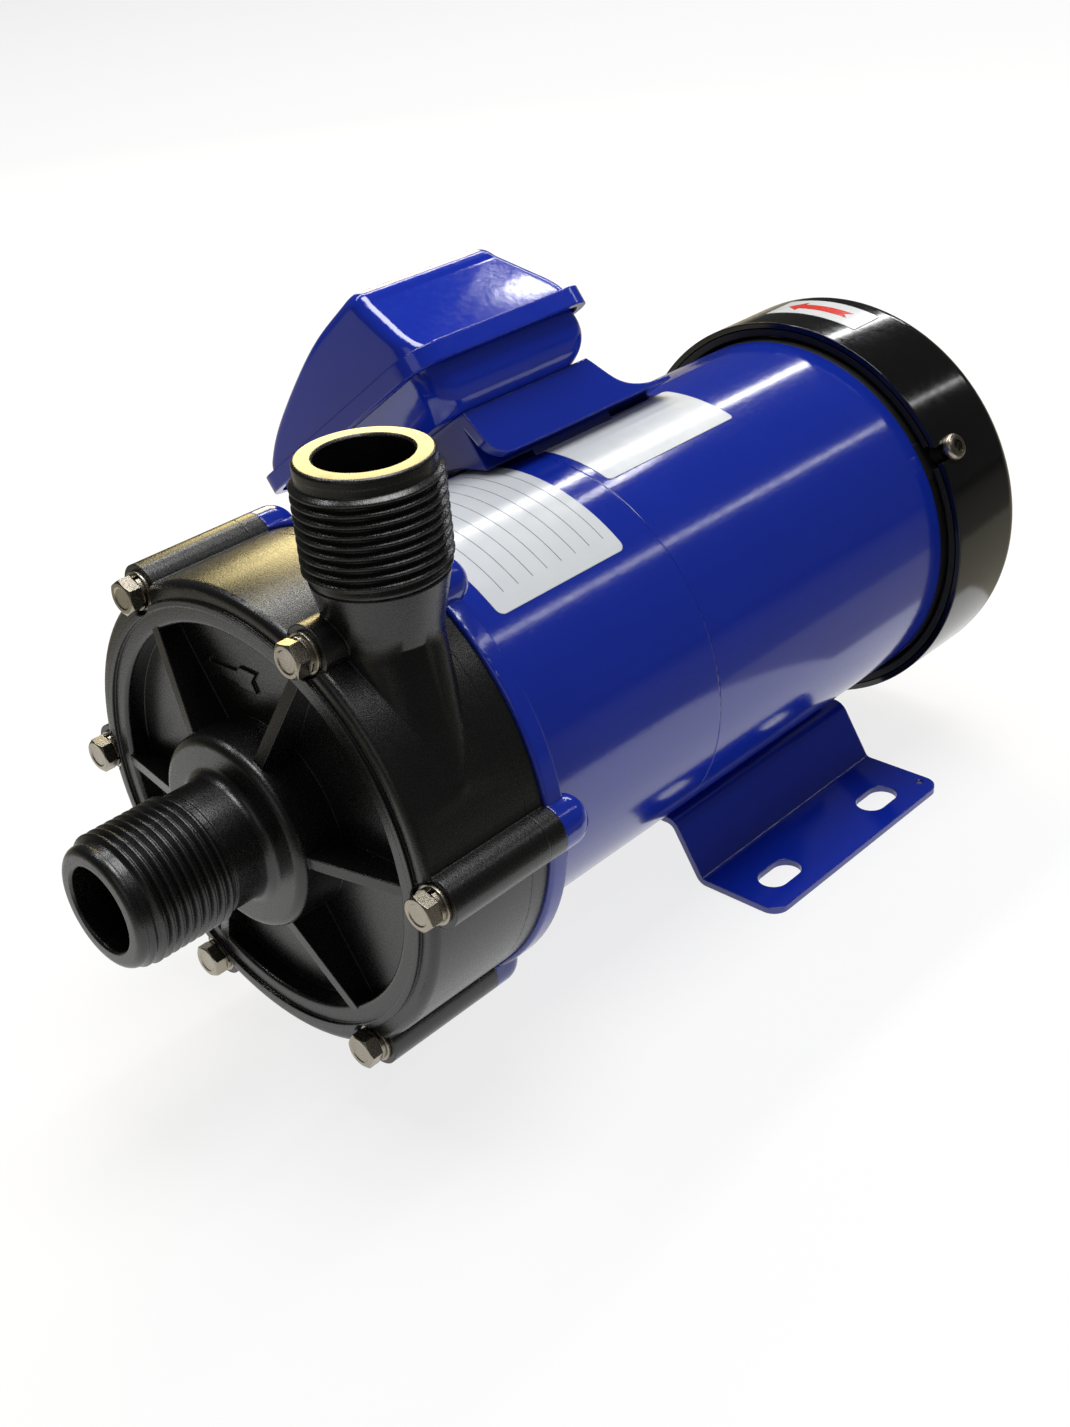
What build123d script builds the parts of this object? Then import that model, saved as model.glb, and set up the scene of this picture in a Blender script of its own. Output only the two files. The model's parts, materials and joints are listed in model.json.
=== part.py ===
"""Close-coupled magnetic drive centrifugal pump with a totally enclosed fan-cooled motor.

Millimetres, +Z up. The origin is the middle of the four foot slots, on the underside of the
foot. The shaft lies along Y: the inlet faces -Y and the fan is at the +Y end. "Station" means
a distance along Y; "radius" is measured from the shaft line. Each "depth" is the distance of
a piece behind the bolt seat, and each "rise" its distance in front of it.
"""
from build123d import *
import os
from math import cos, degrees, radians, sin

# Clearances
slip = 0.05            # pieces that are pushed together by hand
run_gap = 0.04         # plain bearing film, on the radius
bolt_gap = 0.25        # bolt in a plain hole, on the radius
seat_gap = 0.1         # moulded pieces that nest
thread_gap = 0.05      # screw in its tapped hole, on the radius
past = 1.0             # how far a cut or a join runs past a face
tip_gap = 0.5          # from a screw's tip to the bottom of its hole

# Shaft line and the stations of the main joints
shaft_height = 71.0
seat = -156.5          # face on which the casing bolts bear
case_length = 29.5     # bolt seat to the casing joint
can_flange = 5.4
bracket_length = 71.1
barrel_length = 102.0
joint = seat + case_length
ring_front = joint + can_flange
seam = ring_front + bracket_length
barrel_rear = seam + barrel_length

# Casing bolts
bolt_count = 6
bolt_circle = 60.3     # radius
bolt_turn = 1.6        # degrees from the horizontal
bolt_radius = 2.5
bolt_hole = bolt_radius + bolt_gap
head_flats = 8.0
head_height = 3.5
lock_washer_radius = 4.4
lock_washer_thick = 1.2
lock_washer_slit = 0.8
flat_washer_radius = 5.0
flat_washer_thick = 1.0
boss_radius = 6.4
bolt_grip = 8.5        # thread length in the bracket

# Front casing
case_radius = 60.4
case_wall = 4.8
case_rounding = 2.2    # at the outer front edge
band_inner = 50.0
band_rise = 1.5
band_front = seat - band_rise
band_rounding = 1.2
spot_face = 5.6        # radius of the flat cut for each washer
floor_depth = 4.0
floor_front = seat + floor_depth
ridge_radius = 55.4
ridge_width = 1.6
ridge_height = 0.9
hub_radius = 25.0
hub_rise = 9.0
hub_front = seat - hub_rise
hub_rounding = 2.5
rib_width = 3.0
rib_rise = 6.5
rib_top = seat - rib_rise
rib_root = 2.0         # how far the ribs run into the hub
rear_gap = 0.4         # between the neck and the rear casing behind the joint

# Ports
thread_radius = 16.62  # major radius of a one inch parallel pipe thread
thread_length = 24.5
nose_radius = 15.3
nose_rounding = 2.2
mouth_chamfer = 0.5
nose_length = 2.3
pipe_radius = 15.5
port_bore = 10.7       # radius
inlet_reach = 46.2
inlet_end = seat - inlet_reach
eye_bore = 13.5        # radius, widened round the spindle support
eye_rise = 8.0
eye_front = seat - eye_rise
outlet_x = 33.4
outlet_depth = 19.0
outlet_station = seat + outlet_depth
outlet_top = 92.6      # above the shaft line
neck_radius = 12.4
neck_top = 62.0        # above the shaft line
neck_bottom = 52.0
throat_bore = 9.0      # radius
tongue_x = 48.5
tongue_depth = 15.0
tongue_station = seat + tongue_depth
tongue_height = 19.5
tongue_radius = 8.5

# Volute chamber
chamber_front = floor_front + case_wall
volute_start = 42.0
volute_growth = 9.0
volute_turn = -330.0   # degrees, from the outlet round to the tongue
volute_first = 60.0    # degrees
volute_steps = 24

# Impeller
impeller_radius = 38.0
impeller_depth = 12.0
impeller_front = seat + impeller_depth
shroud_thick = 2.2
vane_depth = 7.0
back_plate = 3.2
neck_inner = 13.0
neck_outer = 15.0
neck_length = 6.0
vane_count = 6
vane_thick = 2.0
vane_bite = 0.4         # of the vanes into the plates
vane_middle = 26.0     # radius
vane_middle_sweep = -26.0  # degrees
vane_sweep = -64.0     # degrees
shroud_rise = 1.0      # from its neck to its rim
nose_reach = 7.0       # of the impeller's hub, in front of the back plate
nose_slope = 2.0
nose_wall = 2.2
nose_tip = 1.2
rim_step = 0.2         # of the vane tips inside the plates' rims
ring_gap = 0.35        # impeller neck in the mouth ring
ring_outer = 17.8
ring_length = 4.0
shroud_rear = impeller_front + shroud_thick
plate_front = shroud_rear + vane_depth
plate_rear = plate_front + back_plate

# Spindle, bush and thrust rings
spindle_radius = 5.0
spindle_chamfer = 0.6
spindle_depth = 0.5
spindle_front = seat + spindle_depth
support_radius = 7.8
support_rise = 4.0
support_front = seat - support_rise
support_depth = 6.5
support_rear = seat + support_depth
arm_count = 3
arm_width = 3.2
arm_length = 5.5
bush_wall = 3.4
bush_outer = spindle_radius + run_gap + bush_wall
bush_groove = 0.8      # radius
bush_grooves = 3
end_play = 0.5
thrust_thick = 2.5
thrust_radius = 8.2
thrust_rear_radius = 9.2
bush_front = support_rear + thrust_thick + end_play

# Containment shell, inner and outer magnets
capsule_radius = 30.8
capsule_wall = 2.6
capsule_depth = 68.5
capsule_rear = seat + capsule_depth
capsule_end = 3.0
capsule_corner = 2.0
inner_magnet_wall = 9.0
inner_magnet_depth = 38.0
inner_magnet_front = seat + inner_magnet_depth
inner_magnet_rear = capsule_rear - capsule_end - seat_gap
can_gap = 1.4
can_wall = 2.0
can_inner = capsule_radius + can_gap
can_outer = can_inner + can_wall
thrust_rear_front = capsule_rear + end_play
can_boss_front = thrust_rear_front + thrust_thick
can_boss_radius = 9.5
can_boss_length = 4.0
can_end = can_boss_front + can_boss_length
can_end_wall = 3.0
can_corner = 4.0       # radius outside the closed end
spindle_seat = 1.5     # depth in the closed end
spindle_rear = can_end + spindle_seat
o_ring_radius = 55.6
o_ring_section = 1.3   # radius
o_ring_squeeze = 0.2
o_ring_rounding = 0.8
magnet_gap = 1.1
magnet_thick = 5.9
magnet_count = 8
magnet_length = 28.0
magnet_depth = 40.0
magnet_front = seat + magnet_depth
magnet_slot = 1.2
yoke_wall = 5.0
yoke_inner = can_outer + magnet_gap + magnet_thick + slip
yoke_outer = yoke_inner + yoke_wall
yoke_lip = 1.0         # in front of the magnets
yoke_air = 2.0         # behind the containment can
yoke_corner = 3.0
yoke_front = magnet_front - yoke_lip
yoke_web_front = can_end + can_end_wall + yoke_air
yoke_web = 5.5
yoke_hub_radius = 13.5
yoke_hub_length = 11.0
set_screw_radius = 2.5
set_screw_sink = 1.0   # below the hub

# Bracket
body_radius = 54.3
bracket_wall = 5.0
bracket_bore = body_radius - bracket_wall
ring_step = 7.4        # of the ring past the lantern
ring_radius = body_radius + ring_step
ring_thick = 5.0
ring_fillet = 3.0      # between the ring and the lantern
ring_rounding = 1.0
bracket_boss_length = 11.0
spigot_depth = 3.0
spigot_wall = 2.4
bearing_wall = 3.5
sleeve_wall = 4.5
web_bore = 11.5        # radius of the shaft's hole in the web
tie_floor = 2.0        # in front of the tie bolts' holes
web_depth = 98.5
web_front = seat + web_depth
rear_spigot = 6.0
rear_spigot_bore = 41.2  # radius

# Motor shaft and bearings
shaft_front_radius = 7.0
bearing_bore = 7.5
bearing_outer = 17.5
bearing_width = 11.0
race_wall = 2.6
ball_radius = 3.0
ball_count = 8
ball_gap = 0.12
cage_thick = 1.2
cage_margin = 0.6      # past the balls
washer_play = 0.2      # round the wave washer
rotor_seat_radius = 9.0
fan_seat_radius = 6.0
shaft_rounding = 0.8
shaft_tail = 1.0       # past the fan's clip
clip_groove = 0.6      # depth
pitch_radius = (bearing_bore + bearing_outer) / 2
front_bearing = web_front + bearing_wall
rear_bearing_depth = 190.0
rear_bearing = seat + rear_bearing_depth
shaft_inset = 3.0      # behind the yoke's web
shaft_front = yoke_web_front + shaft_inset
shoulder_front = front_bearing + bearing_width
shoulder_rear = rear_bearing

# Stator and rotor
barrel_wall = 5.8
barrel_bore = body_radius - barrel_wall
core_depth = 126.0
core_front = seat + core_depth
core_length = 56.0
core_rear = core_front + core_length
rotor_radius = 28.0
air_gap = 0.4
slot_count = 24
slot_depth = 10.5
slot_mouth = 1.4
tooth_lip = 1.6
slot_angle = 8.6       # degrees
winding_length = 12.0
winding_outer = 42.2
winding_rounding = 3.0
liner = 0.4            # insulation between winding and core
liner_angle = 0.7      # degrees
end_ring_length = 6.0
end_ring_inner = 17.0
end_ring_outer = 27.0
tie_count = 4
tie_inset = 3.0        # inside the barrel's bore
tie_circle = barrel_bore - tie_inset
tie_radius = 2.0
tie_head_radius = 3.5
tie_head = 2.6
tie_turn = 45.0

# Rear end bell, fan and cover
bell_flange = 5.0
bell_spigot = 6.0
bell_wall = 3.6
bell_bore = 8.0        # radius of the shaft's hole
bell_throat = 38.2     # radius inside the bell's wall
lug_thick = 5.0
pillar_radius = 3.3
pillar_gap = 0.3       # under the cover
pillar_root = 2.0      # in the lug
washer_thick = 1.2
cover_gap = 3.2        # between the barrel and the inside of the cover
cover_wall = 2.0
cover_inset = 2.1      # of its mouth behind the barrel
cover_front = barrel_rear + cover_inset
cover_straight = 26.7
cover_corner = 6.0
cover_inner = body_radius + cover_gap
cover_outer = cover_inner + cover_wall
cover_rear = cover_front + cover_straight + cover_corner
cover_screw_inset = 6.5
cover_screws = (30.0, 150.0, 270.0)
cover_screw_radius = 2.0
pan_radius = 3.9
pan_height = 2.4
pan_taper = 18.0       # degrees
lug_width = 11.0
lug_reach = 4.0        # lug length past the screw
notch_width = 4.8
fan_radius = 50.0
fan_gap = 1.8          # from the lugs to the fan
fan_plate = 2.0
fan_depth = 12.5
fan_hub_radius = 12.0
blade_count = 8
blade_thick = 1.8
blade_inner = 17.0
clip_thick = 1.0
clip_radius = 8.5
clip_mouth = 6.0
grille_rows = (16.0, 26.0, 36.0, 46.0)
grille_slot = 5.0
grille_sectors = 6
grille_web = 5.0
grille_turn = 30.0     # degrees

# Foot
foot_sheet = 2.0
foot_front = -39.2
foot_rear = 42.3
slot_pitch_y = 48.0
slot_pitch_x = 104.0
slot_width = 8.8
slot_total = 14.6
foot_half_width = 62.5
foot_bend_x = 36.6
web_half_width = 27.3
web_top = 18.3
foot_corner = 4.8
web_bend = 5.0         # radius over the upper bends
flange_bend = 1.8      # radius inside the lower bends
corner_hole = 1.2      # radius of the small hole in one corner
corner_hole_x = 57.2
corner_hole_y = 39.0
foot_screw_x = 8.0
foot_screw_pitch = 50.0
foot_screw_radius = 2.5
foot_screw_head = 4.6
foot_screw_height = 3.0
foot_screw_length = 6.4

# Terminal box, set round the shaft line at an angle to the left; u runs to the box's own right
box_tilt = 35.5
box_depth = 77.0
box_front = seat + box_depth
box_length = 61.0
box_rear = box_front + box_length
box_corner = 7.0
box_wall = 2.4
box_middle_u = -2.0
rim_height = 77.3      # from the shaft line
rim_half_width = 41.5
rim_clear = 1.5        # between the base and the inside of the lid's lip
rim_lip = 2.5
rim_lip_height = 5.0
rim_cover = 3.0        # how far the lip comes down over the base
box_height = 13.6      # of the base, from the pedestal's roof to the rim
pedestal_height = rim_height - box_height
pedestal_half_width = 31.0
pedestal_neck = 28.5
pedestal_flare = 35.0
pedestal_shoulder = 48.8
pedestal_corner = 6.0
ramp_length = 20.5     # behind the pedestal
ramp_line = ((0.0, 1.0), (0.1, 0.67), (0.22, 0.36), (0.42, 0.18), (0.7, 0.09), (1.0, 0.07))  # shares
pedestal_setback = 12.0    # behind the front of the box
pedestal_front = box_front + pedestal_setback
pedestal_cutback = 14.0    # shorter than the box
pedestal_length = box_length - pedestal_cutback
pedestal_rear = pedestal_front + pedestal_length
pedestal_wall = 3.0
roof_thick = 3.4
roof_middle = (seam + pedestal_rear) / 2
bracket_air = 1.5      # between the pedestal and the bracket that it overhangs
lead_hole = 4.5        # radius
base_floor = 2.4
low_half_width = 31.5
low_cutback = 11.5     # shorter than the box
low_length = box_length - low_cutback
low_rear_inset = 3.8   # of the floor, from the rear of the rim
bowl_height = 6.5      # of the fullest part over the floor
bowl_half_width = 39.0
bowl_cutback = 3.6      # shorter than the box
bowl_length = box_length - bowl_cutback
bowl_rear_swell = 1.0  # past the rear of the rim
gasket_thick = 1.5
lid_rise = 25.2        # from the rim to the top of the lid
lid_upright = 1.7      # of the lid's wall, over the gasket
lid_curve = ((30.0, 4.5), (27.5, 0.5), (21.0, 0.0), (4.5, 1.6), (-8.5, 4.7), (-21.5, 8.9), (-34.0, 14.3))
lid_peak = rim_height + lid_rise
lid_foot = rim_height + gasket_thick + lid_upright
lid_wall = 2.2
lid_rear_slope = 12.0  # how far the rear wall leans in over its height
lid_front_slope = 1.5
lid_rounding = 4.0
ear_radius = 4.4
ear_reach = 13.0
ear_stand = 1.0        # of the ears' centres past the lid's lip
ear_pitch = 36.0
ear_height = 8.0
gland_radius = 5.1
gland_length = 8.2
gland_stand = 1.6      # how far the gland boss stands out of the rear wall
gland_drop = 6.7       # below the rim
gland_height = rim_height - gland_drop
grommet_radius = 4.9
grommet_inner_radius = 4.4
grommet_hole = 3.9
grommet_bore = 3.0
grommet_flange = 1.6
box_screw_radius = 2.0
box_screw_head = 3.6
box_screw_height = 2.2
head_taper = 15        # degrees
box_screw_u = 22.0
box_screw_y = 5.0
earth_u = -11.0
box_screw_places = [(u, roof_middle + y) for u in (-box_screw_u, box_screw_u)
                    for y in (-box_screw_y, box_screw_y)]
earth_place = (earth_u, roof_middle)
block_u = 6.0
block_setback = 18.5   # behind the front of the box
block_station = box_front + block_setback
block_length = 34.0
block_width = 16.0
block_height = 9.0
terminal_count = 3
terminal_pitch = 10.5
terminal_well = 2.8
terminal_depth = 4.0
terminal_head = 2.0
terminal_shank = 1.5
terminal_shank_length = 4.0


# Reference planes

half_plane = Plane(origin=(0, 0, shaft_height), x_dir=(0, 1, 0), z_dir=(1, 0, 0))
shaft_line = Axis((0, 0, shaft_height), (0, 1, 0))
tilt = radians(box_tilt)
box_right = Vector(cos(tilt), 0, sin(tilt))
box_up = Vector(-sin(tilt), 0, cos(tilt))


def across(station):
    """Plane square to the shaft: its x runs right, its y up and its normal to the front."""
    return Plane(origin=(0, station, shaft_height), x_dir=(1, 0, 0), z_dir=(0, -1, 0))


def box_across(station):
    """Plane square to the shaft with its y along the terminal box's own upright."""
    return Plane(origin=(0, station, shaft_height), x_dir=box_right, z_dir=(0, -1, 0))


def box_side(distance):
    """Plane square to the terminal box's rim at a distance to its right: x along the shaft, y upright."""
    return Plane(origin=Vector(0, 0, shaft_height) + box_right * distance, x_dir=(0, 1, 0), z_dir=box_right)


def box_level(height):
    """Plane parallel to the terminal box's rim: x to the box's right, y along the shaft."""
    return Plane(origin=Vector(0, 0, shaft_height) + box_up * height, x_dir=box_right, z_dir=box_up)


def radial(angle, radius=0.0):
    """Plane that looks out from the shaft at an angle: x along the shaft, normal outwards."""
    outwards = Vector(cos(radians(angle)), 0, sin(radians(angle)))
    return Plane(origin=Vector(0, 0, shaft_height) + outwards * radius, x_dir=(0, 1, 0), z_dir=outwards)


def slice_at(angle):
    """Plane through the shaft line at an angle: x along the shaft, y outwards."""
    sideways = Vector(sin(radians(angle)), 0, -cos(radians(angle)))
    return Plane(origin=(0, 0, shaft_height), x_dir=(0, 1, 0), z_dir=sideways)


def level(height):
    """Horizontal plane at a height over the underside of the foot."""
    return Plane.XY.offset(height)


# Shapes used by several pieces

def turn(points, mode=Mode.ADD, rounds=()):
    """Revolve a closed outline of (station, radius) points; rounds are (point index, radius)."""
    with BuildSketch(half_plane) as outline:
        with BuildLine():
            Polyline(*points, close=True)
        make_face()
        for index, radius in rounds:
            station, height = points[index]
            fillet(outline.vertices().sort_by_distance((station, height, 0))[0], radius)
    revolve(outline.sketch, axis=shaft_line, mode=mode)


def sleeve(front, rear, inner, outer, mode=Mode.ADD):
    """Plain tube between two stations."""
    turn([(front, inner), (rear, inner), (rear, outer), (front, outer)], mode)


def rod(front, rear, radius, mode=Mode.ADD):
    """Plain bar between two stations."""
    turn([(front, 0), (rear, 0), (rear, radius), (front, radius)], mode)


def bars_round(front, rear, circle, radius, count, turned=0.0, mode=Mode.ADD):
    """Bars parallel to the shaft, evenly spaced on a circle."""
    with BuildSketch(across(rear)) as ends:
        with PolarLocations(circle, count, start_angle=turned):
            Circle(radius)
    extrude(ends.sketch, amount=rear - front, mode=mode)


def polar_point(radius, angle):
    """Point of a plane, from a radius and an angle in degrees."""
    return radius * cos(radians(angle)), radius * sin(radians(angle))


def save(piece, name):
    """Label a finished piece and write its file."""
    piece.part.label = name
    export_step(piece.part, f"parts/{name}.step")


os.makedirs("parts", exist_ok=True)


# Front casing: hub, ribbed front, side wall, bolt bosses, volute chamber and both ports

with BuildPart() as front_casing:
    turn([(inlet_end, 0), (inlet_end, nose_radius), (inlet_end + nose_length, nose_radius),
          (inlet_end + nose_length, thread_radius),
          (inlet_end + nose_length + thread_length, thread_radius),
          (inlet_end + nose_length + thread_length, pipe_radius), (hub_front, pipe_radius),
          (hub_front, hub_radius), (floor_front, hub_radius), (floor_front, band_inner),
          (band_front, band_inner), (band_front, case_radius), (joint, case_radius), (joint, 0)],
         rounds=[(1, nose_rounding), (6, hub_rounding), (7, hub_rounding), (10, band_rounding),
                 (11, case_rounding)])
    sleeve(band_front - ridge_height, band_front + ridge_height, ridge_radius - ridge_width / 2,
           ridge_radius + ridge_width / 2)
    bars_round(seat, joint, bolt_circle, boss_radius, bolt_count, bolt_turn)
    bars_round(band_front - 2 * ridge_height, seat, bolt_circle, spot_face, bolt_count, bolt_turn,
               Mode.SUBTRACT)

    # Six ribs that fall from the hub to the band
    for number in range(bolt_count):
        with BuildSketch(slice_at(bolt_turn + number * 360 / bolt_count)):
            with BuildLine():
                Polyline((rib_top, hub_radius - rib_root), (band_front, band_inner + rib_root / 2),
                         (chamber_front, band_inner + rib_root / 2), (chamber_front, hub_radius - rib_root),
                         close=True)
            make_face()
        extrude(amount=rib_width / 2, both=True)

    # Outlet: threaded pipe, neck, and a tongue that fades into the side wall
    top = shaft_height + outlet_top
    thread_bottom = top - nose_length - thread_length
    with BuildSketch(level(thread_bottom)):
        with Locations((outlet_x, outlet_station)):
            Circle(thread_radius)
    extrude(amount=thread_length)
    with BuildSketch(level(top - nose_length)):
        with Locations((outlet_x, outlet_station)):
            Circle(nose_radius)
    extrude(amount=nose_length)
    fillet(front_casing.edges().sort_by(Axis.Z)[-1], nose_rounding)
    with BuildSketch(level(thread_bottom)):
        with Locations((outlet_x, outlet_station)):
            Circle(pipe_radius)
    with BuildSketch(level(shaft_height + neck_bottom)):
        with Locations((outlet_x, outlet_station)):
            Circle(neck_radius)
    loft()
    with BuildSketch(level(shaft_height + neck_bottom)):
        with Locations((outlet_x, outlet_station)):
            Circle(neck_radius)
    with BuildSketch(level(shaft_height + tongue_height)):
        with Locations((tongue_x, tongue_station)):
            Circle(tongue_radius)
    loft()
    with Locations((tongue_x, tongue_station, shaft_height + tongue_height)):
        Sphere(tongue_radius)

    # Volute chamber: a spiral that grows towards the outlet
    spiral = [polar_point(volute_start + volute_growth * step / volute_steps,
                          volute_first + volute_turn * step / volute_steps) for step in range(volute_steps + 1)]
    with BuildSketch(across(joint)):
        with BuildLine():
            Spline(*spiral)
            Line(spiral[-1], spiral[0])
        make_face()
    extrude(amount=joint - chamber_front, mode=Mode.SUBTRACT)

    # Waterways
    rod(inlet_end, eye_front, port_bore, Mode.SUBTRACT)
    turn([(inlet_end, 0), (inlet_end, port_bore + mouth_chamfer), (inlet_end + mouth_chamfer, port_bore),
          (inlet_end + mouth_chamfer, 0)], Mode.SUBTRACT)
    with BuildSketch(level(top)):
        with Locations((outlet_x, outlet_station)):
            Circle(port_bore + mouth_chamfer)
    extrude(amount=-mouth_chamfer, taper=45, mode=Mode.SUBTRACT)
    rod(eye_front, chamber_front, eye_bore, Mode.SUBTRACT)
    rod(chamber_front - ring_length, chamber_front, ring_outer + slip, Mode.SUBTRACT)
    with BuildSketch(level(top)):
        with Locations((outlet_x, outlet_station)):
            Circle(port_bore)
    extrude(amount=-(outlet_top - neck_top), mode=Mode.SUBTRACT)
    with BuildSketch(level(shaft_height + neck_top)):
        with Locations((outlet_x, outlet_station)):
            Circle(port_bore)
    with BuildSketch(level(shaft_height + neck_bottom)):
        with Locations((outlet_x, outlet_station)):
            Circle(throat_bore)
    loft(mode=Mode.SUBTRACT)
    with BuildSketch(level(shaft_height + neck_bottom)):
        with Locations((outlet_x, outlet_station)):
            Circle(throat_bore)
    extrude(amount=-(neck_bottom - tongue_height), mode=Mode.SUBTRACT)

    # Spindle support: a boss held in the eye by three arms
    rod(support_front, support_rear, support_radius)
    with BuildSketch(across(support_front + arm_length)):
        with PolarLocations((support_radius + eye_bore) / 2, arm_count, start_angle=90):
            Rectangle(eye_bore - support_radius + 2 * past, arm_width)
    extrude(amount=arm_length)
    rod(spindle_front, support_rear, spindle_radius + slip, Mode.SUBTRACT)

    # The neck stands clear of the rear casing behind the joint
    rod(joint, joint + neck_radius, case_radius + rear_gap, Mode.SUBTRACT)
    bars_round(joint, joint + neck_radius, bolt_circle, boss_radius + rear_gap, bolt_count, bolt_turn,
               Mode.SUBTRACT)
    bars_round(seat, ring_front, bolt_circle, bolt_hole, bolt_count, bolt_turn, Mode.SUBTRACT)
save(front_casing, "front_casing")


# Mouth ring pressed in the casing's eye

with BuildPart() as mouth_ring:
    sleeve(chamber_front - ring_length, chamber_front, neck_outer + ring_gap, ring_outer)
save(mouth_ring, "mouth_ring")


# Rear casing: flange with bolt ears, O-ring groove, thin containment can and spindle seat

with BuildPart() as rear_casing:
    spigot_rear = ring_front + spigot_depth
    spigot_bore = bracket_bore - spigot_wall
    turn([(joint, can_inner), (joint, case_radius), (ring_front, case_radius),
          (ring_front, bracket_bore - slip), (spigot_rear, bracket_bore - slip),
          (spigot_rear, spigot_bore), (ring_front, spigot_bore),
          (ring_front, can_outer), (can_end + can_end_wall, can_outer), (can_end + can_end_wall, 0),
          (can_end, 0), (can_end, can_inner)],
         rounds=[(8, can_corner), (11, can_corner - can_wall)])
    bars_round(joint, ring_front, bolt_circle, boss_radius, bolt_count, bolt_turn)
    rod(can_boss_front, can_end + past, can_boss_radius)
    rod(can_boss_front, spindle_rear, spindle_radius + slip, Mode.SUBTRACT)
    sleeve(joint, joint + 2 * o_ring_section - o_ring_squeeze, o_ring_radius - o_ring_section - seat_gap,
           o_ring_radius + o_ring_section + seat_gap, Mode.SUBTRACT)
    bars_round(joint, ring_front, bolt_circle, bolt_hole, bolt_count, bolt_turn, Mode.SUBTRACT)
save(rear_casing, "rear_casing")


# O-ring, squeezed flat in its groove

with BuildPart() as casing_o_ring:
    sleeve(joint + slip / 2, joint + 2 * o_ring_section - o_ring_squeeze - slip, o_ring_radius - o_ring_section,
           o_ring_radius + o_ring_section)
    fillet(casing_o_ring.edges(), o_ring_rounding)
save(casing_o_ring, "casing_o_ring")


# Ceramic spindle and the two thrust rings

with BuildPart() as spindle:
    rod(spindle_front + seat_gap, spindle_rear - seat_gap, spindle_radius)
    chamfer(spindle.edges().filter_by(GeomType.CIRCLE), spindle_chamfer)
save(spindle, "spindle")

with BuildPart() as front_thrust_ring:
    sleeve(support_rear, support_rear + thrust_thick, spindle_radius + slip, thrust_radius)
save(front_thrust_ring, "front_thrust_ring")

with BuildPart() as rear_thrust_ring:
    sleeve(thrust_rear_front, can_boss_front, spindle_radius + slip, thrust_rear_radius)
save(rear_thrust_ring, "rear_thrust_ring")


# Impeller: shroud with its neck, swept-back vanes and a back plate

hub_bore = bush_outer + slip
vane_tip = impeller_radius - rim_step
with BuildPart() as impeller:
    turn([(impeller_front - neck_length, neck_inner), (impeller_front - neck_length, neck_outer),
          (impeller_front, neck_outer), (impeller_front + shroud_rise, impeller_radius),
          (shroud_rear + shroud_rise, impeller_radius), (shroud_rear, neck_outer + shroud_rise),
          (impeller_front, neck_inner)])
    turn([(plate_front, hub_bore + nose_wall), (plate_front - nose_reach + nose_slope, hub_bore + nose_wall),
          (plate_front - nose_reach, hub_bore + nose_tip), (plate_front - nose_reach, hub_bore),
          (plate_rear, hub_bore), (plate_rear, impeller_radius),
          (plate_front, impeller_radius)])
    with BuildSketch(across(plate_front + vane_bite)) as vanes:
        with PolarLocations(0, vane_count):
            with BuildLine():
                inner_end = polar_point(neck_outer, 0)
                middle = polar_point(vane_middle, vane_middle_sweep)
                outer_end = polar_point(vane_tip, vane_sweep)
                middle_back = polar_point(vane_middle, vane_middle_sweep + degrees(vane_thick / vane_middle))
                outer_back = polar_point(vane_tip, vane_sweep + degrees(vane_thick / vane_tip))
                inner_back = polar_point(neck_outer, degrees(vane_thick / neck_outer))
                ThreePointArc(inner_end, middle, outer_end)
                Line(outer_end, outer_back)
                ThreePointArc(outer_back, middle_back, inner_back)
                Line(inner_back, inner_end)
            make_face()
    extrude(vanes.sketch, amount=vane_depth + 2 * vane_bite)
save(impeller, "impeller")


# Carbon bush, magnet capsule and the ring magnet inside it

with BuildPart() as impeller_bush:
    sleeve(bush_front, capsule_rear, spindle_radius + run_gap, bush_outer)
    with BuildSketch(across(capsule_rear)) as grooves:
        with PolarLocations(spindle_radius + run_gap, bush_grooves):
            Circle(bush_groove)
    extrude(grooves.sketch, amount=capsule_rear - bush_front, mode=Mode.SUBTRACT)
save(impeller_bush, "impeller_bush")

inner_magnet_outer = capsule_radius - capsule_wall - seat_gap
inner_magnet_inner = inner_magnet_outer - inner_magnet_wall
with BuildPart() as magnet_capsule:
    turn([(plate_rear, hub_bore), (plate_rear, capsule_radius), (capsule_rear, capsule_radius),
          (capsule_rear, hub_bore)],
         rounds=[(2, capsule_corner)])
    sleeve(inner_magnet_front - seat_gap, capsule_rear - capsule_end, inner_magnet_inner - seat_gap,
           inner_magnet_outer + seat_gap, Mode.SUBTRACT)
save(magnet_capsule, "magnet_capsule")

with BuildPart() as inner_magnet:
    sleeve(inner_magnet_front, inner_magnet_rear, inner_magnet_inner, inner_magnet_outer)
save(inner_magnet, "inner_magnet")


# Bracket: flange ring with six domed bosses, cylindrical lantern and the front bearing seat

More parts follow.
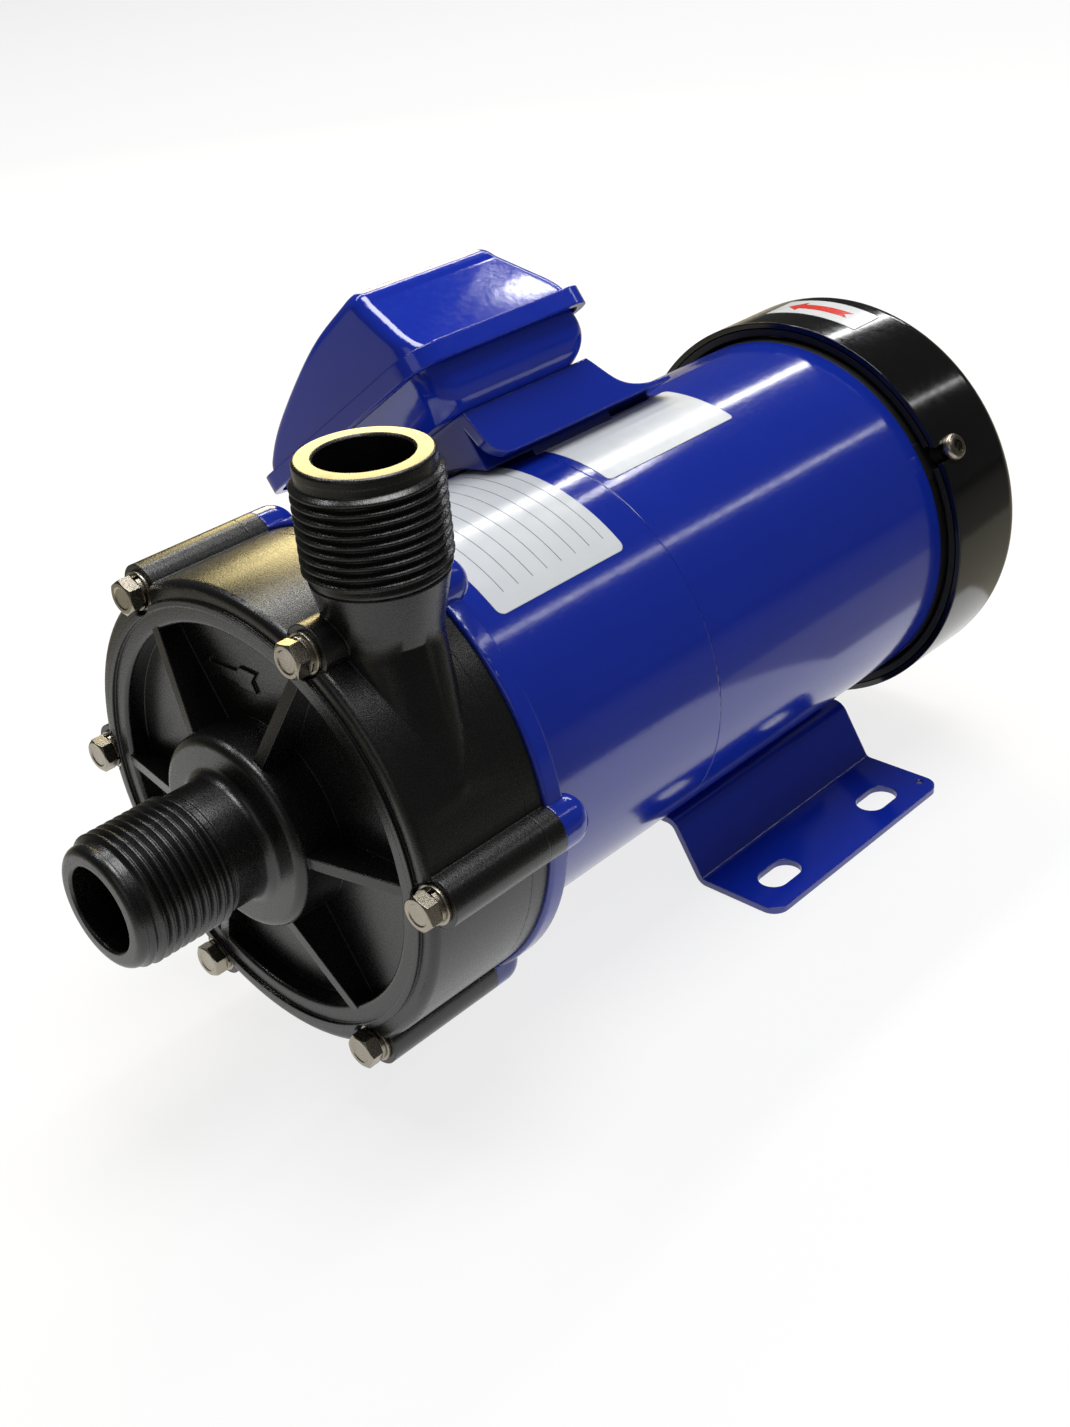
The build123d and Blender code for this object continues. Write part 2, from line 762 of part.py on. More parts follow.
bearing_seat = bearing_outer + slip
sleeve_outer = bearing_outer + sleeve_wall
spigot_outer = barrel_bore - slip
dome_station = ring_front + bracket_boss_length - boss_radius
dome_middle = (dome_station + boss_radius * cos(radians(45)), bolt_circle + boss_radius * sin(radians(45)))
with BuildPart() as bracket:
    turn([(ring_front, bracket_bore), (ring_front, ring_radius), (ring_front + ring_thick, ring_radius),
          (ring_front + ring_thick, body_radius), (seam, body_radius), (seam, spigot_outer),
          (seam + rear_spigot, spigot_outer), (seam + rear_spigot, rear_spigot_bore), (seam, rear_spigot_bore),
          (seam, sleeve_outer), (front_bearing + bearing_width, sleeve_outer),
          (front_bearing + bearing_width, bearing_seat), (front_bearing, bearing_seat),
          (front_bearing, web_bore), (web_front, web_bore), (web_front, bracket_bore)],
         rounds=[(3, ring_fillet), (1, ring_rounding)])
    for number in range(bolt_count):
        angle = bolt_turn + number * 360 / bolt_count
        with BuildSketch(slice_at(angle)):
            with BuildLine():
                Line((ring_front, bolt_circle), (dome_station + boss_radius, bolt_circle))
                ThreePointArc((dome_station + boss_radius, bolt_circle), dome_middle,
                              (dome_station, bolt_circle + boss_radius))
                Polyline((dome_station, bolt_circle + boss_radius), (ring_front, bolt_circle + boss_radius),
                         (ring_front, bolt_circle))
            make_face()
        x, z = polar_point(bolt_circle, angle)
        revolve(axis=Axis((x, 0, shaft_height + z), (0, 1, 0)))
    rod(ring_front - past, web_front, bracket_bore, Mode.SUBTRACT)
    bars_round(ring_front, ring_front + bolt_grip, bolt_circle, bolt_radius + thread_gap, bolt_count, bolt_turn,
               Mode.SUBTRACT)
    bars_round(web_front + tie_floor, seam + rear_spigot, tie_circle, tie_radius + thread_gap, tie_count,
               tie_turn, Mode.SUBTRACT)
save(bracket, "bracket")


# Casing bolts with their spring and flat washers

head_seat = seat - flat_washer_thick - lock_washer_thick
with BuildPart() as casing_bolts:
    with BuildSketch(across(head_seat)) as heads:
        with PolarLocations(bolt_circle, bolt_count, start_angle=bolt_turn):
            RegularPolygon(head_flats / 2, 6, major_radius=False)
    extrude(heads.sketch, amount=head_height)
    bars_round(head_seat, ring_front + bolt_grip - tip_gap, bolt_circle, bolt_radius, bolt_count, bolt_turn)
save(casing_bolts, "casing_bolts")

with BuildPart() as casing_lock_washers:
    with BuildSketch(across(seat - flat_washer_thick)) as washers:
        with PolarLocations(bolt_circle, bolt_count, start_angle=bolt_turn):
            Circle(lock_washer_radius)
            Circle(bolt_radius + bolt_gap / 2, mode=Mode.SUBTRACT)
            with Locations((lock_washer_radius, 0)):
                Rectangle(lock_washer_radius, lock_washer_slit, mode=Mode.SUBTRACT)
    extrude(washers.sketch, amount=lock_washer_thick)
save(casing_lock_washers, "casing_lock_washers")

with BuildPart() as casing_flat_washers:
    bars_round(seat - flat_washer_thick, seat, bolt_circle, flat_washer_radius, bolt_count, bolt_turn)
    bars_round(seat - flat_washer_thick, seat, bolt_circle, bolt_radius + bolt_gap / 2, bolt_count, bolt_turn,
               Mode.SUBTRACT)
save(casing_flat_washers, "casing_flat_washers")


# Outer drive: yoke cup, its eight magnet segments and two set screws

yoke_hub_rear = yoke_web_front + yoke_web + yoke_hub_length
with BuildPart() as drive_yoke:
    turn([(yoke_front, yoke_inner), (yoke_front, yoke_outer), (yoke_web_front + yoke_web, yoke_outer),
          (yoke_web_front + yoke_web, yoke_hub_radius), (yoke_hub_rear, yoke_hub_radius),
          (yoke_hub_rear, shaft_front_radius + slip), (yoke_web_front, shaft_front_radius + slip),
          (yoke_web_front, yoke_inner)], rounds=[(2, yoke_corner)])
    screw_station = yoke_web_front + yoke_web + yoke_hub_length / 2
    for angle in (0, 90):
        with BuildSketch(radial(angle)) as hole:
            with Locations((screw_station, 0)):
                Circle(set_screw_radius + thread_gap)
        extrude(hole.sketch, amount=yoke_hub_radius + past, mode=Mode.SUBTRACT)
save(drive_yoke, "drive_yoke")

with BuildPart() as yoke_set_screws:
    for angle in (0, 90):
        with BuildSketch(radial(angle, shaft_front_radius + slip)) as point:
            with Locations((screw_station, 0)):
                Circle(set_screw_radius)
        extrude(point.sketch, amount=yoke_hub_radius - shaft_front_radius - set_screw_sink)
save(yoke_set_screws, "yoke_set_screws")

magnet_inner = can_outer + magnet_gap
with BuildPart() as drive_magnets:
    sleeve(magnet_front, magnet_front + magnet_length, magnet_inner, magnet_inner + magnet_thick)
    with BuildSketch(across(magnet_front + magnet_length)) as gaps:
        with PolarLocations(magnet_inner + magnet_thick / 2, magnet_count, start_angle=180 / magnet_count):
            Rectangle(magnet_thick + 2 * past, magnet_slot)
    extrude(gaps.sketch, amount=magnet_length, mode=Mode.SUBTRACT)
save(drive_magnets, "drive_magnets")


# Motor shaft, rotor core and its cast end rings

lug_station = cover_front + cover_screw_inset
lug_rear = lug_station + lug_reach
fan_front = lug_rear + fan_gap
fan_rear = fan_front + fan_depth
clip_front = fan_rear + seat_gap
shaft_rear = clip_front + clip_thick + shaft_tail
with BuildPart() as motor_shaft:
    turn([(shaft_front, 0), (shaft_front, shaft_front_radius), (web_front, shaft_front_radius),
          (web_front, bearing_bore), (shoulder_front, bearing_bore), (shoulder_front, rotor_seat_radius),
          (shoulder_rear, rotor_seat_radius), (shoulder_rear, bearing_bore),
          (rear_bearing + bearing_width, bearing_bore), (rear_bearing + bearing_width, fan_seat_radius),
          (shaft_rear, fan_seat_radius), (shaft_rear, 0)], rounds=[(1, shaft_rounding), (10, shaft_rounding)])
    sleeve(clip_front, clip_front + clip_thick + slip, fan_seat_radius - clip_groove, fan_seat_radius + past,
           Mode.SUBTRACT)
save(motor_shaft, "motor_shaft")

with BuildPart() as rotor_core:
    sleeve(core_front, core_rear, rotor_seat_radius + slip, rotor_radius)
save(rotor_core, "rotor_core")

with BuildPart() as rotor_end_rings:
    for front in (core_front - end_ring_length, core_rear):
        sleeve(front, front + end_ring_length, end_ring_inner, end_ring_outer)
save(rotor_end_rings, "rotor_end_rings")


# Stator core with its slots, and the winding that fills them and loops over at each end

stator_bore = rotor_radius + air_gap
slot_inner = stator_bore + tooth_lip
slot_outer = slot_inner + slot_depth
stator_outer = barrel_bore - slip
with BuildPart() as stator_core:
    sleeve(core_front, core_rear, stator_bore, stator_outer)
    with BuildSketch(across(core_rear)) as openings:
        with PolarLocations(0, slot_count):
            with BuildLine():
                Line(polar_point(slot_inner, -slot_angle / 2), polar_point(slot_outer, -slot_angle / 2))
                ThreePointArc(polar_point(slot_outer, -slot_angle / 2), (slot_outer, 0),
                              polar_point(slot_outer, slot_angle / 2))
                Line(polar_point(slot_outer, slot_angle / 2), polar_point(slot_inner, slot_angle / 2))
                ThreePointArc(polar_point(slot_inner, slot_angle / 2), (slot_inner, 0),
                              polar_point(slot_inner, -slot_angle / 2))
            make_face()
        with PolarLocations(stator_bore + tooth_lip / 2, slot_count):
            Rectangle(tooth_lip + past, slot_mouth)
        with PolarLocations(tie_circle + tie_radius, tie_count, start_angle=tie_turn):
            Rectangle(2 * (tie_radius + bolt_gap) + 2 * tie_radius, 2 * (tie_radius + bolt_gap))
    extrude(openings.sketch, amount=core_length, mode=Mode.SUBTRACT)
save(stator_core, "stator_core")

with BuildPart() as stator_windings:
    for front in (core_front - winding_length, core_rear):
        turn([(front, slot_inner + past), (front, winding_outer), (front + winding_length, winding_outer),
              (front + winding_length, slot_inner + past)],
             rounds=[(corner, winding_rounding) for corner in range(4)])
    with BuildSketch(across(core_rear + past)) as bundles:
        with PolarLocations(0, slot_count):
            with BuildLine():
                low, high, half = slot_inner + liner, slot_outer - liner, slot_angle / 2 - liner_angle
                Line(polar_point(low, -half), polar_point(high, -half))
                Line(polar_point(high, -half), polar_point(high, half))
                Line(polar_point(high, half), polar_point(low, half))
                Line(polar_point(low, half), polar_point(low, -half))
            make_face()
    extrude(bundles.sketch, amount=core_length + 2 * past)
save(stator_windings, "stator_windings")


# Two deep-groove ball bearings, each with outer ring, inner ring, balls and cage

def groove(front):
    """Ball track turned out of a bearing ring."""
    with BuildSketch(half_plane) as track:
        with Locations((front + bearing_width / 2, pitch_radius)):
            Circle(ball_radius + ball_gap)
    revolve(track.sketch, axis=shaft_line, mode=Mode.SUBTRACT)


for place, front in (("front", front_bearing), ("rear", rear_bearing)):
    middle_station = front + bearing_width / 2
    with BuildPart() as outer_ring:
        sleeve(front, front + bearing_width, bearing_outer - race_wall, bearing_outer)
        groove(front)
    save(outer_ring, f"{place}_bearing_outer_ring")

    with BuildPart() as inner_ring:
        sleeve(front, front + bearing_width, bearing_bore + slip, bearing_bore + race_wall)
        groove(front)
    save(inner_ring, f"{place}_bearing_inner_ring")

    with BuildPart() as balls:
        for number in range(ball_count):
            x, z = polar_point(pitch_radius, number * 360 / ball_count)
            with Locations((x, middle_station, shaft_height + z)):
                Sphere(ball_radius)
    save(balls, f"{place}_bearing_balls")

    with BuildPart() as cage:
        sleeve(middle_station - ball_radius - cage_margin, middle_station + ball_radius + cage_margin,
               pitch_radius - cage_thick / 2, pitch_radius + cage_thick / 2)
        for number in range(ball_count):
            with BuildSketch(radial(number * 360 / ball_count)) as pocket:
                with Locations((middle_station, 0)):
                    Circle(ball_radius + ball_gap)
            extrude(pocket.sketch, amount=bearing_outer, mode=Mode.SUBTRACT)
    save(cage, f"{place}_bearing_cage")


# Wave washer behind the rear bearing

with BuildPart() as wave_washer:
    sleeve(rear_bearing + bearing_width, rear_bearing + bearing_width + washer_thick, bearing_outer - race_wall,
           bearing_outer - washer_play)
save(wave_washer, "wave_washer")


# Motor barrel with the flat pad for the foot and the pedestal for the terminal box

under_roof = pedestal_height - roof_thick
ramp_rear = pedestal_rear + ramp_length
ramp = [(pedestal_rear + along * ramp_length, pedestal_shoulder + up * (pedestal_height - pedestal_shoulder))
        for along, up in ramp_line]
with BuildPart() as motor_housing:
    with BuildSketch(box_across(pedestal_rear)):
        with BuildLine():
            Polyline((-pedestal_neck, under_roof), (roof_thick - pedestal_flare, pedestal_shoulder),
                     (-pedestal_flare, pedestal_shoulder), (-pedestal_half_width, pedestal_height),
                     (pedestal_half_width, pedestal_height), (pedestal_flare, pedestal_shoulder),
                     (pedestal_flare - roof_thick, pedestal_shoulder), (pedestal_neck, under_roof), close=True)
        make_face()
    extrude(amount=pedestal_rear - pedestal_front)
    with BuildSketch(box_across(ramp_rear)):
        with BuildLine():
            Polyline((-pedestal_flare, pedestal_shoulder), (-pedestal_half_width, pedestal_height),
                     (pedestal_half_width, pedestal_height), (pedestal_flare, pedestal_shoulder), close=True)
        make_face()
    extrude(amount=ramp_length)
    with BuildSketch(box_side(-pedestal_flare - past)):
        with BuildLine():
            FilletPolyline((pedestal_rear, pedestal_height), (pedestal_front, pedestal_height),
                           (pedestal_front, pedestal_shoulder), (ramp_rear, pedestal_shoulder), ramp[-1],
                           radius=(0, pedestal_corner, 0))
            Spline(*ramp)
        make_face()
    extrude(amount=2 * (pedestal_flare + past), mode=Mode.INTERSECT)
    with BuildSketch(box_across(pedestal_rear)):
        with Locations((0, under_roof / 2)):
            Rectangle(2 * pedestal_neck, under_roof)
    extrude(amount=pedestal_rear - pedestal_front)
    rod(pedestal_front - past, seam, body_radius + bracket_air, Mode.SUBTRACT)
    rod(seam, barrel_rear, body_radius)
    rod(seam - past, barrel_rear + past, barrel_bore, Mode.SUBTRACT)

    # Flat for the foot, with tapped holes through the wall
    with BuildSketch(level(web_top)):
        with Locations((0, (foot_front + foot_rear) / 2)):
            Rectangle(2 * body_radius, foot_rear - foot_front + 2 * past)
    extrude(amount=-web_top, mode=Mode.SUBTRACT)
    with BuildSketch(level(web_top)):
        with GridLocations(2 * foot_screw_x, foot_screw_pitch, 2, 2):
            Circle(foot_screw_radius + thread_gap)
    extrude(amount=shaft_height - barrel_bore, mode=Mode.SUBTRACT)

    # Hollow under the pedestal's roof, and the holes for the box screws and the leads
    with BuildSketch(box_level(body_radius)):
        with Locations((0, roof_middle)):
            Rectangle(2 * (pedestal_neck - pedestal_wall), pedestal_rear - seam - 2 * pedestal_wall)
    extrude(amount=under_roof - body_radius, mode=Mode.SUBTRACT)
    with BuildSketch(box_level(pedestal_height)):
        with Locations(*box_screw_places, earth_place):
            Circle(box_screw_radius + thread_gap)
    extrude(amount=-roof_thick, mode=Mode.SUBTRACT)
    with BuildSketch(box_level(pedestal_height)):
        with Locations((0, roof_middle)):
            Circle(lead_hole)
    extrude(amount=barrel_bore - pedestal_height - past, mode=Mode.SUBTRACT)
save(motor_housing, "motor_housing")


# Rear end bell: flange, spigot, bearing seat and three lugs for the cover screws

with BuildPart() as rear_end_bell:
    bell_rear = barrel_rear + bell_flange
    bell_seat_rear = rear_bearing + bearing_width + washer_thick
    turn([(barrel_rear - bell_spigot, spigot_outer), (barrel_rear, spigot_outer), (barrel_rear, body_radius),
          (bell_rear, body_radius), (bell_rear, rear_spigot_bore), (bell_seat_rear + bell_wall, bell_throat),
          (bell_seat_rear + bell_wall, bell_bore), (bell_seat_rear, bell_bore),
          (bell_seat_rear, bearing_seat), (rear_bearing, bearing_seat), (rear_bearing, sleeve_outer),
          (barrel_rear - bell_spigot, sleeve_outer)])
    for angle in cover_screws:
        with BuildSketch(radial(angle, body_radius - lug_thick)) as lug:
            with Locations(((barrel_rear + lug_rear) / 2, 0)):
                Rectangle(lug_rear - barrel_rear, lug_width)
        extrude(lug.sketch, amount=lug_thick)
        with BuildSketch(radial(angle, cover_inner - pillar_gap)) as pillar:
            with Locations((lug_station, 0)):
                Circle(pillar_radius)
        extrude(pillar.sketch, amount=-(cover_inner - body_radius + pillar_root))
        with BuildSketch(radial(angle, cover_outer)) as tapped:
            with Locations((lug_station, 0)):
                Circle(cover_screw_radius + thread_gap)
        extrude(tapped.sketch, amount=-(cover_outer - body_radius + lug_thick), mode=Mode.SUBTRACT)
    bars_round(barrel_rear - bell_spigot, bell_rear, tie_circle, tie_radius + bolt_gap, tie_count, tie_turn,
               Mode.SUBTRACT)
save(rear_end_bell, "rear_end_bell")


# Four long tie bolts that clamp the barrel between the bracket and the end bell

with BuildPart() as tie_bolts:
    bars_round(web_front + tie_floor + tip_gap, bell_rear, tie_circle, tie_radius, tie_count, tie_turn)
    bars_round(bell_rear, bell_rear + tie_head, tie_circle, tie_head_radius, tie_count, tie_turn)
save(tie_bolts, "tie_bolts")


# Cooling fan and its clip

with BuildPart() as fan:
    sleeve(fan_front, fan_rear, fan_seat_radius + slip, fan_hub_radius)
    sleeve(fan_front, fan_front + fan_plate, fan_hub_radius - past, fan_radius)
    with BuildSketch(across(fan_rear)) as blades:
        with PolarLocations((blade_inner + fan_radius) / 2, blade_count):
            Rectangle(fan_radius - blade_inner, blade_thick)
        with PolarLocations((fan_hub_radius + blade_inner) / 2, blade_count):
            Rectangle(blade_inner - fan_hub_radius + 2 * past, blade_thick)
    extrude(blades.sketch, amount=fan_depth)
save(fan, "fan")

with BuildPart() as fan_clip:
    with BuildSketch(across(clip_front + clip_thick)) as clip:
        Circle(clip_radius)
        Circle(fan_seat_radius - clip_groove + slip, mode=Mode.SUBTRACT)
        with Locations((0, clip_radius)):
            Rectangle(clip_mouth, clip_radius, mode=Mode.SUBTRACT)
    extrude(clip.sketch, amount=clip_thick)
save(fan_clip, "fan_clip")


# Fan cover: a deep cup with notches for its screws and rows of slots in the end

with BuildPart() as fan_cover:
    turn([(cover_front, 0), (cover_front, cover_outer), (cover_rear, cover_outer), (cover_rear, 0)],
         rounds=[(2, cover_corner)])
    turn([(cover_front, 0), (cover_front, cover_inner), (cover_rear - cover_wall, cover_inner),
          (cover_rear - cover_wall, 0)], Mode.SUBTRACT, rounds=[(2, cover_corner - cover_wall)])
    for angle in cover_screws:
        with BuildSketch(radial(angle, body_radius)) as notch:
            with Locations(((cover_front + lug_station) / 2 - past, 0)):
                Rectangle(lug_station - cover_front + 2 * past, notch_width)
            with Locations((lug_station, 0)):
                Circle(notch_width / 2)
        extrude(notch.sketch, amount=cover_outer - body_radius + past, mode=Mode.SUBTRACT)
    with BuildSketch(across(cover_rear + past)) as grille:
        for row in reversed(grille_rows):
            Circle(row + grille_slot / 2)
            Circle(row - grille_slot / 2, mode=Mode.SUBTRACT)
        with PolarLocations(0, grille_sectors // 2, start_angle=grille_turn):
            Rectangle(2 * cover_inner, grille_web, mode=Mode.SUBTRACT)
    extrude(grille.sketch, amount=cover_wall + 2 * past, mode=Mode.SUBTRACT)
save(fan_cover, "fan_cover")

with BuildPart() as fan_cover_screws:
    for angle in cover_screws:
        with BuildSketch(radial(angle, cover_outer)) as head:
            with Locations((lug_station, 0)):
                Circle(pan_radius)
        extrude(head.sketch, amount=pan_height, taper=pan_taper)
        with BuildSketch(radial(angle, cover_outer)) as shank:
            with Locations((lug_station, 0)):
                Circle(cover_screw_radius)
        extrude(shank.sketch, amount=-(cover_outer - body_radius + lug_thick - tip_gap))
save(fan_cover_screws, "fan_cover_screws")


# Foot: one bent sheet, with a flat web under the barrel, sloped walls and slotted flanges

with BuildPart() as foot:
    with BuildSketch(Plane(origin=(0, foot_rear, 0), x_dir=(1, 0, 0), z_dir=(0, -1, 0))) as section:
        with BuildLine() as line:
            FilletPolyline((foot_half_width, foot_sheet), (foot_bend_x, foot_sheet),
                           (web_half_width, web_top), (-web_half_width, web_top),
                           (-foot_bend_x, foot_sheet), (-foot_half_width, foot_sheet),
                           radius=(flange_bend, web_bend, web_bend, flange_bend))
            offset(amount=foot_sheet, side=Side.LEFT)
        make_face()
    extrude(section.sketch, amount=foot_rear - foot_front)
    upright = foot.edges().filter_by(Axis.Z)
    fillet(upright.filter_by(lambda edge: abs(edge.center().X) > foot_half_width - past), foot_corner)
    with BuildSketch(level(0)) as slots:
        with GridLocations(slot_pitch_x, slot_pitch_y, 2, 2):
            SlotOverall(slot_total, slot_width, rotation=90)
        with Locations((corner_hole_x, corner_hole_y)):
            Circle(corner_hole)
    extrude(slots.sketch, amount=foot_sheet + past, mode=Mode.SUBTRACT)
    with BuildSketch(level(web_top)) as holes:
        with GridLocations(2 * foot_screw_x, foot_screw_pitch, 2, 2):
            Circle(foot_screw_radius + bolt_gap)
    extrude(holes.sketch, amount=-foot_sheet, mode=Mode.SUBTRACT)
save(foot, "foot")

with BuildPart() as foot_screws:
    with BuildSketch(level(web_top - foot_sheet)) as heads:
        with GridLocations(2 * foot_screw_x, foot_screw_pitch, 2, 2):
            Circle(foot_screw_head)
    extrude(heads.sketch, amount=-foot_screw_height)
    with BuildSketch(level(web_top - foot_sheet)) as shanks:
        with GridLocations(2 * foot_screw_x, foot_screw_pitch, 2, 2):
            Circle(foot_screw_radius)
    extrude(shanks.sketch, amount=foot_screw_length)
save(foot_screws, "foot_screws")


# Terminal box: base tub with two ears and a gland boss, gasket and lid

box_middle = (box_front + box_rear) / 2
rim_width = 2 * rim_half_width
base_top_width = rim_width - 2 * rim_clear
base_top_length = box_length - 2 * rim_clear
base_rear = box_rear - rim_clear
lip_low = rim_height + gasket_thick - rim_cover
floor_top = pedestal_height + base_floor
ear_u = box_middle_u - rim_half_width - rim_lip - ear_stand
ear_places = [(ear_u, box_middle - ear_pitch / 2), (ear_u, box_middle + ear_pitch / 2)]
gland_rear = base_rear + gland_stand
bowl_middle = base_rear + bowl_rear_swell - bowl_length / 2
low_middle = base_rear - low_rear_inset - low_length / 2


def bowl(inset, bottom):
    """Three level outlines of the tub, less an inset: at its bottom, where it is fullest, and at the rim."""
    outlines = ((bottom, 0, low_middle, 2 * low_half_width, low_length),
                (bottom + bowl_height, box_middle_u, bowl_middle, 2 * bowl_half_width, bowl_length),
                (rim_height, box_middle_u, box_middle, base_top_width, base_top_length))
    faces = []
    for height, u, middle, width, length in outlines:
        with BuildSketch(box_level(height)) as outline:
            with Locations((u, middle)):
                RectangleRounded(width - 2 * inset, length - 2 * inset, box_corner - inset)
        faces.append(outline.sketch.face())
    return faces


with BuildPart() as terminal_box_base:
    loft(bowl(0, pedestal_height))
    with BuildSketch(box_level(lip_low)):
        with Locations(*ear_places):
            Circle(ear_radius)
            with Locations((ear_reach / 2, 0)):
                Rectangle(ear_reach, 2 * ear_radius)
    extrude(amount=-ear_height)
    with BuildSketch(box_across(gland_rear)):
        with Locations((box_middle_u, gland_height)):
            Circle(gland_radius)
    extrude(amount=gland_length)
    loft(bowl(box_wall, floor_top), mode=Mode.SUBTRACT)
    with BuildSketch(box_across(gland_rear)):
        with Locations((box_middle_u, gland_height)):
            Circle(grommet_hole)
    extrude(amount=gland_length + box_wall, mode=Mode.SUBTRACT)
    with BuildSketch(box_level(lip_low)):
        with Locations(*ear_places):
            Circle(box_screw_radius + thread_gap)
    extrude(amount=-ear_height, mode=Mode.SUBTRACT)
    with BuildSketch(box_level(floor_top)):
        with Locations(*box_screw_places, earth_place):
            Circle(box_screw_radius + bolt_gap)
        with Locations((0, roof_middle)):
            Circle(lead_hole)
    extrude(amount=-base_floor, mode=Mode.SUBTRACT)
save(terminal_box_base, "terminal_box_base")

with BuildPart() as terminal_box_gasket:
    with BuildSketch(box_level(rim_height)):
        with Locations((box_middle_u, box_middle)):
            RectangleRounded(base_top_width, base_top_length, box_corner)
            RectangleRounded(base_top_width - 2 * box_wall, base_top_length - 2 * box_wall,
                             box_corner - box_wall, mode=Mode.SUBTRACT)
    extrude(amount=gasket_thick)
save(terminal_box_gasket, "terminal_box_gasket")


def lid_form(inset):
    """Body of the lid, less an inset: a block with leaning walls cut to the hump of its end view."""
    low = rim_height + gasket_thick
    right = box_middle_u + rim_half_width - inset
    left = box_middle_u - rim_half_width + inset
    top_length = box_length - lid_front_slope - lid_rear_slope
    hump_line = [(u, lid_peak - fall - inset) for u, fall in lid_curve]
    with BuildPart(mode=Mode.PRIVATE) as block:
        with BuildSketch(box_level(low)):
            with Locations((box_middle_u, box_middle)):
                RectangleRounded(rim_width - 2 * inset, box_length - 2 * inset, box_corner - inset)
        with BuildSketch(box_level(lid_peak + past)):
            with Locations((box_middle_u, box_middle + (lid_front_slope - lid_rear_slope) / 2)):
                RectangleRounded(rim_width - 2 * inset, top_length - 2 * inset, box_corner - inset)
        loft()
    with BuildPart(mode=Mode.PRIVATE) as hump:
        with BuildSketch(box_across(box_rear + past)):
            with BuildLine():
                Polyline((left, lid_foot), (left, low), (right, low), (right, lid_foot), hump_line[0])
                Spline(*hump_line, (left, lid_foot))
            make_face()
        extrude(amount=box_length + 2 * past)
    return block.part & hump.part


def above_foot(edge):
    """Whether an edge lies over the upright foot of the lid's wall."""
    return (edge.center() - Vector(0, 0, shaft_height)).dot(box_up) > lid_foot + lid_rounding


sharp_form = lid_form(0)
outer_form = fillet(sharp_form.edges().filter_by(above_foot), lid_rounding)
inner_form = lid_form(lid_wall)
with BuildPart() as terminal_box_lid:
    add(outer_form)
    with BuildSketch(box_level(lip_low)):
        with Locations((box_middle_u, box_middle)):
            RectangleRounded(rim_width + 2 * rim_lip, box_length + 2 * rim_lip, box_corner + rim_lip)
    extrude(amount=rim_lip_height)
    with BuildSketch(box_level(lip_low)):
        with Locations((box_middle_u, box_middle)):
            RectangleRounded(rim_width, box_length, box_corner)
    extrude(amount=rim_cover, mode=Mode.SUBTRACT)
    add(inner_form, mode=Mode.SUBTRACT)
    with BuildSketch(box_level(lip_low)):
        with Locations(*ear_places):
            Circle(ear_radius)
    extrude(amount=rim_lip_height)
    with BuildSketch(box_level(lip_low)):
        with Locations(*ear_places):
            Circle(box_screw_radius + bolt_gap)
    extrude(amount=rim_lip_height, mode=Mode.SUBTRACT)
save(terminal_box_lid, "terminal_box_lid")


# Screws of the terminal box: lid to base, base to pedestal, and the earth screw

def pan_screws(places, seat_level, length):
    """Pan-head screws square to the box's rim, their heads on a level."""
    with BuildSketch(box_level(seat_level)) as heads:
        with Locations(*places):
            Circle(box_screw_head)
    extrude(heads.sketch, amount=box_screw_height, taper=head_taper)
    with BuildSketch(box_level(seat_level)) as shanks:
        with Locations(*places):
            Circle(box_screw_radius)
    extrude(shanks.sketch, amount=-length)


with BuildPart() as terminal_box_lid_screws:
    pan_screws(ear_places, lip_low + rim_lip_height, rim_lip_height + ear_height - tip_gap)
save(terminal_box_lid_screws, "terminal_box_lid_screws")

with BuildPart() as terminal_box_screws:
    pan_screws(box_screw_places, floor_top, base_floor + roof_thick - tip_gap)
save(terminal_box_screws, "terminal_box_screws")

with BuildPart() as earth_screw:
    pan_screws([earth_place], floor_top, base_floor + roof_thick - tip_gap)
save(earth_screw, "earth_screw")


# Terminal block on the floor of the box, with its clamping screws

block_top = floor_top + block_height
terminal_places = [(block_u + (number - (terminal_count - 1) / 2) * terminal_pitch, block_station)
                   for number in range(terminal_count)]
with BuildPart() as terminal_block:
    with BuildSketch(box_level(floor_top)):
        with Locations((block_u, block_station)):
            Rectangle(block_length, block_width)
    extrude(amount=block_height)
    with BuildSketch(box_level(block_top)):
        with Locations(*terminal_places):
            Circle(terminal_well)
    extrude(amount=-terminal_depth, mode=Mode.SUBTRACT)
    with BuildSketch(box_level(block_top - terminal_depth)):
        with Locations(*terminal_places):
            Circle(terminal_shank + thread_gap)
    extrude(amount=-terminal_shank_length, mode=Mode.SUBTRACT)
save(terminal_block, "terminal_block")

with BuildPart() as terminal_screws:
    with BuildSketch(box_level(block_top - terminal_depth)):
        with Locations(*terminal_places):
            Circle(terminal_well - bolt_gap)
    extrude(amount=terminal_head)
    with BuildSketch(box_level(block_top - terminal_depth)):
        with Locations(*terminal_places):
            Circle(terminal_shank)
    extrude(amount=thread_gap - terminal_shank_length)
save(terminal_screws, "terminal_screws")


# Rubber grommet in the gland boss

with BuildPart() as cable_grommet:
    with BuildSketch(box_across(gland_rear + grommet_flange)):
        with Locations((box_middle_u, gland_height)):
            Circle(grommet_radius)
    extrude(amount=grommet_flange)
    with BuildSketch(box_across(gland_rear)):
        with Locations((box_middle_u, gland_height)):
            Circle(grommet_hole - slip)
    extrude(amount=gland_length)
    with BuildSketch(box_across(gland_rear - gland_length)):
        with Locations((box_middle_u, gland_height)):
            Circle(grommet_inner_radius)
    extrude(amount=grommet_flange)
    fillet(cable_grommet.edges().filter_by(GeomType.CIRCLE).group_by(Axis.Y)[-1], grommet_flange / 2)
    with BuildSketch(box_across(gland_rear + grommet_flange)):
        with Locations((box_middle_u, gland_height)):
            Circle(grommet_bore)
    extrude(amount=gland_length + 2 * grommet_flange, mode=Mode.SUBTRACT)
